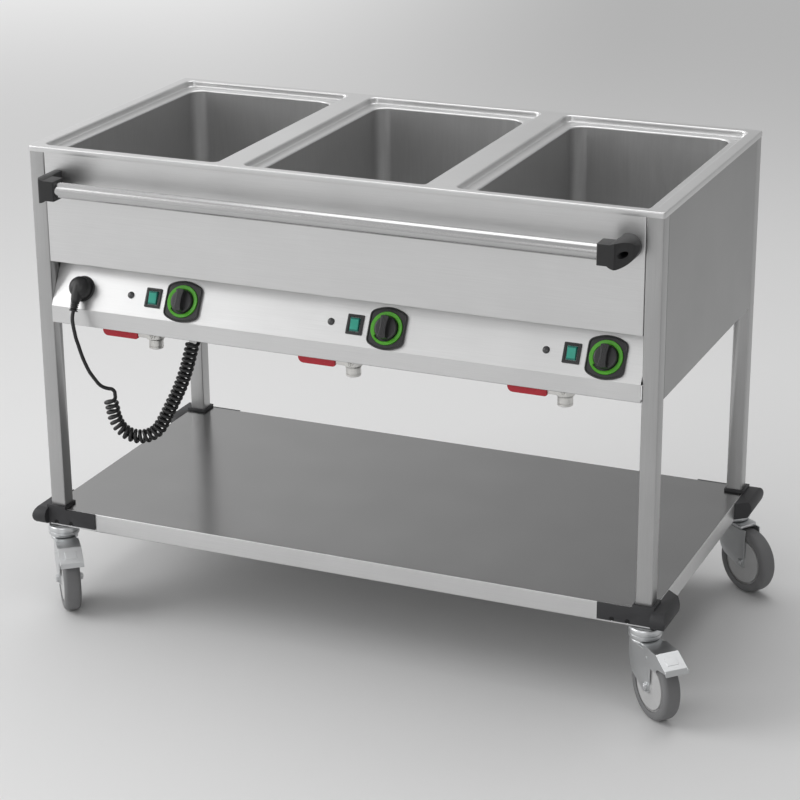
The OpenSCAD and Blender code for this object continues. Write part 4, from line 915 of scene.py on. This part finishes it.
def makeLens(d, name, place):
    half, base, face = d["half"], d["lens"] / 2 - 0.3, d["lensFace"] / 2
    body, centre = Shell(place), Shell(place)
    ends = [(share * half + shift, fall) for share, shift, fall in d["rounding"]]   # towards the middle
    rows = []
    for y, fall in [(-y, fall) for y, fall in ends] + [(0, 0)] + ends[::-1]:
        top = d["crest"] - (d["dip"] * (1 - (y / half) ** 2) + fall)
        rows.append([(px, y, pz) for px, pz in (
            (-base, -5), (-base, 1.4), (-base + 0.3, 2.6), (-face - 0.2, top - 0.5), (-face + 0.5, top),
            (face - 0.5, top), (face + 0.2, top - 0.5), (base - 0.3, 2.6), (base, 1.4), (base, -5))])
    made = body.skin(rows)
    body.cap(made[0])
    body.cap(made[-1], True)
    settle(body.mesh("rockerLens_" + name, sharp=35),
           "rocker_" + name, "tealLens", ["rocker_" + name])
    # the raised middle gets a lighter teal: painted highlight
    rows, steps = [], d["faceSteps"]
    for k in range(steps + 1):
        y = (half - d["faceShort"]) * (k / (steps / 2) - 1)
        top = d["crest"] - d["dip"] * (1 - (y / half) ** 2)
        up = d["faceUp"] if 0 < k < steps else d["faceEndUp"]
        rows.append([(px, y, top + pz) for px, pz in (
            (-face + 0.6, -0.6), (-face + 0.7, up * 0.5), (-face + 1.2, up),
            (face - 1.2, up), (face - 0.7, up * 0.5), (face - 0.6, -0.6))])
    made = centre.skin(rows)
    centre.cap(made[0])
    centre.cap(made[-1], True)
    settle(centre.mesh("rockerFace_" + name, sharp=35), "rocker_" + name, "tealFaceHighlight")


def makeSwitches(d=switch):
    frames = Shell()
    (w, l), (pw, pl), t = d["frame"], d["pocket"], d["thick"]
    for x in wellX:
        frames.place = onSlope(x + d["at"])
        loops = frames.skin([ringLoop(a, b, r, z, steps=4) for a, b, r, z in (
            (w, l, 1.8, 0), (w, l, 1.8, t - 0.7), (w - 0.4, l - 0.4, 1.6, t - 0.2),
            (w - 1.2, l - 1.2, 1.4, t), (pw + 3.6, pl + 3.4, 1.0, t), (pw + 3.0, pl + 2.8, 0.9, t - 0.9),
            (pw + 0.4, pl + 0.4, 0.6, t - 1.0), (pw, pl, 0.4, t - 1.4), (pw, pl, 0.4, d["deep"]))])
        frames.cap(loops[0], True)
        frames.cap(loops[-1])
        frames.prism(box(*d["body"]), d["bodyLow"], -0.2, 0.5)
    settle(frames.mesh("switchFrames", sharp=42), "trolley", "blackGloss", ["switch_frames"])
    for name, x in zip(wellNames, wellX):
        makeLens(d, name, onSlope(x + d["at"]) @ Matrix.Translation((0, 0, d["pivot"]))
                 @ Matrix.Rotation(math.radians(d["tilt"]), 4, "X"))


def makeLamps(d=lamp):
    shell = Shell()
    for x in wellX:
        shell.place = onSlope(x + d["at"])
        r, ring, up = d["radius"], d["ring"], d["up"]
        shell.lathe([(0, d["stemLow"]), (d["stem"], d["stemLow"]), (d["stem"], 0), (ring, 0), (ring, 0.9),
                     (ring - 0.4, 1.35), (r + 0.15, 1.4), (r, 1.3), (r, 1.9), (r - 0.5, up - 0.9),
                     (r - 1.6, up - 0.25), (r - 3.2, up), (0, up + 0.1)], 48)
    settle(shell.mesh("pilotLamps", sharp=45), "trolley", "smokedLens", ["pilot_lamps"])


makeSurrounds()
makeRings()
makeSwitches()
makeLamps()
for name, x in zip(wellNames, wellX):
    makeKnob(name, x)
print("controls made")

# Plug in its parking socket
plugShape = {
    "x": -508, "voxel": 0.8, "smooth": 6,
    "head": ((0, 1.5), (19.5, 1.5), (20.3, 2.5), (20.3, 14), (19.5, 18.4), (17.1, 22.8), (13.1, 26.4),
             (7.9, 28.6), (0, 29.2)),
    "neck": ((2, 8.2, 8, 29.4), (-7, 8.8, 6, 29.3), (-14, 9.2, 5, 28.6), (-20, 9.2, 6.6, 27.8),
             (-25, 8.6, 9.4, 27.2), (-29, 7.2, 11.4, 26.4), (-31, 5.6, 13.2, 24.8), (-43.6, 5.3, 13.7, 24.3),
             (-44, 7.7, 11.3, 26.7), (-46, 7.7, 11.3, 26.7)),   # (down the slope, half its width, low, high)
    "squareness": 0.8,   # of the neck's sections: 1 is round, 0 is square
    "ribsAt": (-30.4, -34, -37.6, -41.2), "ribRadius": (8.2, 8, 7.7, 7.4), "ribAsDrawn": 7.4, "axis": 19,
    "pinsApart": 19, "pin": ((0, -17.5), (1.8, -17.5), (2.4, -16.5), (2.4, 2), (0, 2)),
}


def makePlug(d=plugShape):
    place = onSlope(d["x"])
    shell = Shell(place)
    shell.lathe(d["head"], 72)
    loops = []
    for y, half, low, high in d["neck"]:
        middle, tall = (low + high) / 2, (high - low) / 2
        loop = [(math.cos(a), math.sin(a)) for a in (2 * math.pi * k / 48 for k in range(48))]
        loops.append([(half * math.copysign(abs(c) ** d["squareness"], c), y,
                       middle + tall * math.copysign(abs(s) ** d["squareness"], s)) for c, s in loop])
    rings = shell.skin(loops)
    shell.cap(rings[0], True)
    shell.cap(rings[-1])
    piece = shell.mesh("plugHead", sharp=180, evenly=False)
    modify(piece, "moulded", "REMESH", mode="VOXEL", voxel_size=d["voxel"] * mm, use_smooth_shade=True)
    modify(piece, "relax", "SMOOTH", factor=0.5, iterations=d["smooth"])
    bakeModifiers(piece)
    down = place.to_3x3() @ Vector((0, -1, 0))
    ribPlaces = [(place @ Vector((0, y, d["axis"])), down, (r / d["ribAsDrawn"], r / d["ribAsDrawn"], 1))
                 for y, r in zip(d["ribsAt"], d["ribRadius"])]
    pins = Shell()
    for sign in (-1, 1):
        pins.place = place @ Matrix.Translation((sign * d["pinsApart"] / 2, 0, 0))
        pins.lathe(d["pin"], 24)
    ribs = grown("plugRibs", trees["ribs"], ribPlaces, "blackGloss")
    settle(joined("parkedPlug", [piece, ribs, pins.mesh("plugPins", evenly=False)], sharp=60),
           "trolley", "blackNylon", ["plug"])


makePlug()
relief = {
    "line": [(-288, -241, 594), (-288, -241, 586), (-288, -241, 578), (-288.1, -241.05, 571),
             (-288.9, -241.3, 565.5), (-290, -241.7, 561)],
    "radius": 7.4, "taper": 3.3, "sides": 24,
}
reliefMesh = tubeMesh("glandRelief", smoothLine(relief["line"], 4),
                      lambda t: relief["radius"] - relief["taper"] * t, relief["sides"], sharp=40)
settle(link("glandRelief", reliefMesh), "trolley", "blackNylon")
print("plug and relief made")

# Drain taps under the lip
tap = {
    "y": -227.5, "z": 550, "off": 9,
    "body": ((10, 520), (12.9, 520), (13.75, 520.8), (13.75, 524), (13.1, 524.6), (13.1, 526), (13.75, 526.6),
             (13.75, 536), (15, 538), (16.4, 539.2), (17, 541), (17, 559), (16.4, 561), (15, 562),
             (10.65, 562.5), (10.65, 683.8), (17, 683.8), (17, 686.7), (7.5, 686.7), (7.5, 561.1),
             (10.8, 553), (11.1, 550), (10.8, 547), (7.5, 538.9), (7.5, 534), (10, 534), (10, 520)),
    "nut": 15.6, "nutLow": 562, "nutHigh": 577,
    "boss": ((4.1, 12), (8, 12), (8, 17.6), (7.2, 19.5), (4.1, 19.5), (4.1, 12)),
    "gripLow": 16.6, "gripHigh": 25.5, "gripEnd": 98, "gripStart": 25, "gripHalf": 10.5,
    "ovalHalf": 15, "ovalRadius": 4.6, "ovalUp": 0.35,
    "strainerZ": 689.2, "strainerCircles": ((0, 1), (5.2, 6), (10, 12)),   # (radius, holes)
}


def hexagon(r, turn=0):
    return [(r * math.cos(a), r * math.sin(a)) for a in (math.radians(turn + 60 * k) for k in range(6))]


def makeTaps(d=tap):
    bodies, strainers = Shell(), []
    holes = [((r * math.cos(2 * math.pi * k / n), r * math.sin(2 * math.pi * k / n), 0), (0, 0, 1), asDrawn)
             for r, n in d["strainerCircles"] for k in range(n)]
    low, high, r, end, start = d["gripLow"], d["gripHigh"], d["gripHalf"], -d["gripEnd"], -d["gripStart"]
    outline = [(start, -r + 2.5), (start, r - 2.5), (start - 3, r)]
    outline += [(end + r - r * math.sin(a), r * math.cos(a)) for a in arcSteps(0, 180, 16)]
    outline += [(start - 3, -r)]
    middle, oval = (end + start) / 2, d["ovalRadius"]
    ovalLine = [(middle + sign * d["ovalHalf"] + oval * math.cos(a), oval * math.sin(a))
                for sign, first in ((1, -90), (-1, 90)) for a in arcSteps(first, first + 180, 10)]
    for x in wellX:
        bodies.place = Matrix.Translation((x + d["off"], d["y"], 0))
        bodies.lathe(d["body"])
        bodies.prism(hexagon(d["nut"]), d["nutLow"], d["nutHigh"], 1.0, 3)
        bodies.place = facingFront(x + d["off"], d["y"], d["z"])
        bodies.lathe(d["boss"], 40)
    settle(bodies.mesh("tapBodies", sharp=35), "trolley", "nickelPlate", ["valve_bodies"])
    for name, x in zip(wellNames, wellX):
        grip = Shell(facingFront(x + d["off"], d["y"], d["z"]))
        grip.prism(outline, low, high, 1.9, 4)
        grip.prism(ovalLine, high - 0.6, high + d["ovalUp"], 0.3)
        settle(grip.mesh("leverGrip_" + name, sharp=42),
               "tap_lever_" + name, "dippedVinyl", ["lever_grip_" + name])
        strainer = grown("strainer", trees["strainer"], holes, "nickelPlate")
        strainer.data.transform(Matrix.Translation(Vector((x + d["off"], d["y"], d["strainerZ"])) * mm))
        strainers.append(strainer)
    settle(joined("drainStrainers", strainers), "trolley", "nickelPlate")


makeTaps()
print("taps made")

# Castors, drawn at the swivel axis with X towards the axle
castor = {
    "trail": 43, "axle": 62.5,
    "bearing": ((0, 121.3), (9.4, 121.3), (10, 122), (10, 128.7), (6, 128.7), (6, 136.3), (25.8, 136.3),
                (27.9, 137.6), (29.2, 140), (29.5, 142.4), (29.5, 145.4), (28.9, 146), (28.3, 146.2),
                (28.3, 147.6), (28.9, 147.8), (29.5, 148.4), (29.5, 152.6), (29.1, 155), (28, 157.4),
                (26.6, 158.4), (6, 158.5), (6, 223.5), (5, 224.5), (0, 224.5)),
    "crownLow": 129, "crownTop": 136, "crownRadius": 26, "crownEnd": 42, "crownCorner": 4,
    "cheekIn": 17.8, "wall": 2.5, "cheekOver": 0.4, "cheekSteps": 16, "press": 1.0, "pressWidth": 14,
    "cheekLow": [(-20.8, 100), (-18.6, 91), (-15.4, 82), (-11, 74.5), (-4.5, 68.2), (4, 64), (14, 60.4),
                 (24, 56.6), (31, 53.6), (38, 51.4), (44, 50.6), (48.4, 51.7), (51, 54.4), (52, 58)],
    "axleHead": 7.5,   # then (radius, out from the cheek)
    "washer": ((4, -3), (8.6, -0.2), (8.6, 0.7), (8.2, 1), (0, 1)),
    "bolt": ((0, -20), (4, -20), (4, 5.4), (3.4, 6), (0, 6)),
    "pivot": (44, 118),
    "pivotHead": ((0, 17.9), (3, 17.9), (3, 22.4), (3.6, 22.4), (3.4, 23.2), (2.4, 23.5), (0, 23.5)),
    # (radius, half the width) of one side of the wheel
    "hub": [(4.05, 17.5), (10.6, 17.5), (11.6, 17), (12.4, 15.8), (14, 15.2), (30, 14.8), (41.6, 14.6),
            (42.2, 14.2), (42.5, 10), (45, 10), (45.3, 13.4), (46, 13.3)],
    "tyre": [(46.02, 0), (46.02, 14.6), (46.8, 15.3), (48.2, 15.9), (50, 16), (54.2, 16), (57.6, 15.3),
             (60.2, 13.5), (61.8, 11), (62.4, 8), (62.5, 0)],
}


def makeHeads(d=castor):
    shell = Shell()
    for name in castors:
        shell.place = atCastor(name)
        shell.lathe(d["bearing"], 96)
    settle(shell.mesh("castorBearings", sharp=42), "trolley", "brightZinc", ["castor_heads"])


def makeCheek(place, sign, d=castor):   # a pressed plate: its middle stands out, its free edges stay flat
    cheek = Shell(place)
    front, back = d["cheekLow"][0][0], d["cheekLow"][-1][0]
    rows = []
    for t, low in d["cheekLow"]:
        row = []
        for k in range(d["cheekSteps"] + 1):
            z = low + (d["crownLow"] + d["cheekOver"] - low) * k / d["cheekSteps"]
            inside = min(t - front, back - t, z - low, d["pressWidth"]) / d["pressWidth"]   # 0 at the edges
            raised = d["press"] * (1 - math.cos(math.pi * max(inside, 0))) / 2
            row.append((t, sign * (d["cheekIn"] + d["wall"] / 2 + raised - d["press"] / 2), z))
        rows.append(row)
    cheek.skin(rows, closed=False)
    side = cheek.mesh("cheek", evenly=False, outwards=False)
    modify(side, "sheet", "SOLIDIFY", thickness=d["wall"] * mm, offset=0)
    modify(side, "edge", "BEVEL", width=0.7 * mm, segments=3, limit_method="ANGLE",
           angle_limit=math.radians(50))
    bakeModifiers(side)
    turnedOut(side.data)
    return side


def makeFork(name, d=castor):
    place = atCastor(name)
    crown = Shell(place)
    half, r, end, c = d["cheekIn"] + d["wall"], d["crownRadius"], d["crownEnd"], d["crownCorner"]
    lean = math.degrees(math.asin(half / r))
    outline = [(r * math.cos(a), r * math.sin(a)) for a in arcSteps(lean, 360 - lean, 44)]
    outline += edgeArc(end - c, -half + c, c, -90, 0, 6) + edgeArc(end - c, half - c, c, 0, 90, 6)
    crown.prism(outline, d["crownLow"], d["crownTop"], 2.4, 4)
    parts = [crown.mesh("crown", evenly=False), makeCheek(place, -1), makeCheek(place, 1)]
    fixings = Shell()
    for sign in (-1, 1):
        fixings.place = place @ axes((1, 0, 0), (0, 0, sign), (0, sign, 0), (d["trail"], 0, d["axle"]))
        fixings.prism(hexagon(d["axleHead"], 15), half + 0.9, half + 5, 0.7, 3)
        fixings.lathe([(r, half + out) for r, out in d["washer"]], 40)
        fixings.lathe([(r, half + out) for r, out in d["bolt"]], 32)
        if name.startswith("front"):
            x, z = d["pivot"]
            fixings.place = place @ axes((1, 0, 0), (0, 0, sign), (0, sign, 0), (x, 0, z))
            fixings.lathe(d["pivotHead"], 28)
    parts.append(fixings.mesh("axleFixings", evenly=False))
    settle(joined("castorFork_" + name, parts, sharp=38),
           "castor_" + name, "brightZinc", ["castor_fork_" + name])


def makeWheel(name, d=castor):
    place = atCastor(name) @ facingFront(d["trail"], 0, d["axle"])
    hub, tyre = Shell(place), Shell(place)
    side = d["hub"]
    hub.lathe(side + [(r, -z) for r, z in reversed(side)] + side[:1], 96)
    side = d["tyre"]
    tyre.lathe(side + [(r, -z) for r, z in reversed(side[1:-1])] + side[:1], 128)
    settle(hub.mesh("wheelHub_" + name, sharp=50),
           "wheel_" + name, "wheelNylon", ["wheel_hub_" + name])
    # the tyre's darker grey is painted shade on the tread
    settle(tyre.mesh("wheelTread_" + name, sharp=50),
           "wheel_" + name, "greyTreadShaded", ["tyre_" + name])


pedal = {   # drawings of (out, up) from the top of the fork
    "top": 136.3, "wall": 1.5, "half": 22.3, "bend": 3.2,
    "plate": [(34, 0), (75, 0), (107.5, -17.6), (113.5, -25)],
    "cheek": [(34, 0), (34, -22), (35.6, -25.6), (40, -31.4), (43, -32.6), (69, -33.2), (73, -32.4),
              (82, -24.6), (86, -23.2), (110, -20.6), (112.6, -18.8), (80, -1.6), (75, 0)],
    "block": [(62, -9.2), (66, -10.8), (70, -12.6), (74, -14.6), (78, -16.4), (78, -1.6), (62, 0.2)],
    "blockHalf": 10, "treadAt": (91.5, -8.95), "tread": (8.5, 11), "treadLow": 0.6, "treadHigh": 2.1,
}


def makePedal(name, d=pedal):
    place = atCastor(name) @ Matrix.Translation((0, 0, d["top"]))
    turned = place @ axes((0, 1, 0), (1, 0, 0), (0, 0, 1), (0, 0, 0))   # the plate's strip runs along Y
    plate = foldedStrip("plate", d["plate"], d["bend"], -d["wall"], d["half"], 6, turned, evenly=False)
    modify(plate, "edge", "BEVEL", width=0.45 * mm, segments=2, limit_method="ANGLE",
           angle_limit=math.radians(50))
    bakeModifiers(plate)
    flat = Shell()
    for sign in (-1, 1):
        flat.place = place @ facingFront(0, sign * (d["half"] - d["wall"] / 2), 0)
        flat.prism(d["cheek"], -d["wall"] / 2, d["wall"] / 2, 0.4)
    flat.place = place @ facingFront()
    flat.prism(d["block"], -d["blockHalf"], d["blockHalf"], 0.5)
    (x1, z1), (x2, z2) = d["plate"][1:3]
    flat.place = place @ Matrix.Translation((d["treadAt"][0], 0, d["treadAt"][1])) \
        @ Matrix.Rotation(math.atan2(z1 - z2, x2 - x1), 4, "Y")
    flat.prism(box(*d["tread"]), d["treadLow"], d["treadHigh"], 0.5, 3)
    settle(joined("brakePedal_" + name, [plate, flat.mesh("pedalFlats", evenly=False)], sharp=38),
           "brake_" + name, "brightZinc", ["brake_pedal_" + name])


makeHeads()
for name in castors:
    makeFork(name)
    makeWheel(name)
    if name.startswith("front"):
        makePedal(name)
print("castors made")

# Parts that keep their CAD shape, softened
record = frame["record"]
bodyOf = {node: body for body, members in record["behaviour"]["bodies"].items() for node in members}
slotOf = {row["node"]: row["material_slot"] for row in record["subparts"]}
for name in nodes:
    if not nodes[name].hide_render:
        softened(name, name + "_soft", bodyOf[name], slotFinish[slotOf[name]])

# Floor and light: the room that the camera and the steel see is pale; the light on the object is plain
studio = {
    "reach": 30,                      # metres, half the floor
    "floor": "#e6e6e6", "bright": "#f2f2f2", "dim": "#b4b4b4",
    "brightAt": 0.56, "dimAt": 0.22,  # how far to the left (-X) a seen direction leads, for each of the two
    "softBrightAt": 0.6, "softDimAt": -0.5, "softDim": "#8c8c8c",   # the same for the room's soft light
    "fadeFrom": 2.2, "fadeTo": 8.0,   # metres from the trolley, where the floor turns into the backdrop
    "worldLight": 0.8,
    "lamps": {                        # place, target, size in metres, power in watts
        "keyLamp": ((-4.4, -2.2, 3.0), (0, 0, 0.5), (3.4, 3.0), 105),
        "fillLamp": ((0.6, -5.0, 2.4), (0, 0, 0.4), (3.0, 2.4), 34),
        "topLamp": ((0, 0.8, 4.2), (0, 0, 0.5), (3.6, 3.0), 62),
    },
}


def seenOnly(tree):   # 1 for what the eye, a mirror or clear glass looks at, 0 for light on the object
    path = add(tree, "ShaderNodeLightPath").outputs
    seen = path["Is Camera Ray"]
    for ray in ("Is Glossy Ray", "Is Transmission Ray"):
        seen = add(tree, "ShaderNodeMath", {0: seen, 1: path[ray]}, operation="MAXIMUM").outputs[0]
    return seen


# The room's tone in a direction: brighter to the left than to the right
def roomTone(tree, direction, brightAt=studio["brightAt"], dimAt=studio["dimAt"], dim=studio["dim"]):
    ahead = add(tree, "ShaderNodeVectorMath", {0: direction}, operation="NORMALIZE").outputs["Vector"]
    across = add(tree, "ShaderNodeSeparateXYZ", {0: ahead}).outputs["X"]
    share = add(tree, "ShaderNodeMapRange", {"Value": across}, {"From Min": -dimAt, "From Max": -brightAt},
                interpolation_type="SMOOTHSTEP").outputs["Result"]
    return add(tree, "ShaderNodeMix", {"Factor": share}, {"A": linear(dim), "B": linear(studio["bright"])},
               data_type="RGBA").outputs["Result"]


reach = studio["reach"]
floorMesh = bpy.data.meshes.new("floor")
floorMesh.from_pydata([(x, y, 0) for x, y in box(reach, reach)], [], [(0, 1, 2, 3)])
floor = link("floor", floorMesh)
# matt painted studio floor: keeps the soft shadow near the trolley, melts into the backdrop further off
floorMaterial, floorTree, floorSurface, floorPlace = startMaterial("paleFloor", studio["floor"], 0.0, 0.8)
far = add(floorTree, "ShaderNodeVectorMath", {0: floorPlace}, operation="LENGTH").outputs["Value"]
fade = add(floorTree, "ShaderNodeMapRange", {"Value": far},
           {"From Min": studio["fadeFrom"], "From Max": studio["fadeTo"]},
           interpolation_type="SMOOTHSTEP").outputs["Result"]
share = add(floorTree, "ShaderNodeMath", {0: fade, 1: seenOnly(floorTree)}, operation="MULTIPLY").outputs[0]
glow = add(floorTree, "ShaderNodeEmission", {"Color": roomTone(floorTree, floorPlace)}, {"Strength": 1.0})
mixed = add(floorTree, "ShaderNodeMixShader", {"Fac": share, 1: floorSurface.outputs[0], 2: glow.outputs[0]})
floorTree.links.new(mixed.outputs[0], floorTree.nodes["Material Output"].inputs["Surface"])
floorMesh.materials.append(floorMaterial)


def softLamp(name, place, target, size, power):
    data = bpy.data.lights.new(name, "AREA")
    data.shape, data.size, data.size_y, data.energy = "RECTANGLE", size[0], size[1], power
    lamp = bpy.data.objects.new(name, data)
    lamp.location = place
    lamp.rotation_euler = (Vector(target) - Vector(place)).to_track_quat("-Z", "Y").to_euler()
    bpy.context.scene.collection.objects.link(lamp)


for name, settings in studio["lamps"].items():
    softLamp(name, *settings)
world = bpy.data.worlds.new("studio")
bpy.context.scene.world = world
world.use_nodes = True
sky = world.node_tree
plain = sky.nodes["Background"]
plain.inputs["Strength"].default_value = studio["worldLight"]
around = add(sky, "ShaderNodeTexCoord").outputs["Generated"]
softTone = roomTone(sky, around, studio["softBrightAt"], studio["softDimAt"], studio["softDim"])
sky.links.new(softTone, plain.inputs["Color"])
backdrop = add(sky, "ShaderNodeBackground", {"Color": roomTone(sky, around)}, {"Strength": 1.0})
either = add(sky, "ShaderNodeMixShader", {"Fac": seenOnly(sky), 1: plain.outputs[0], 2: backdrop.outputs[0]})
sky.links.new(either.outputs[0], sky.nodes["World Output"].inputs["Surface"])
bpy.context.scene.view_settings.view_transform = "Standard"
print("floor and light made")
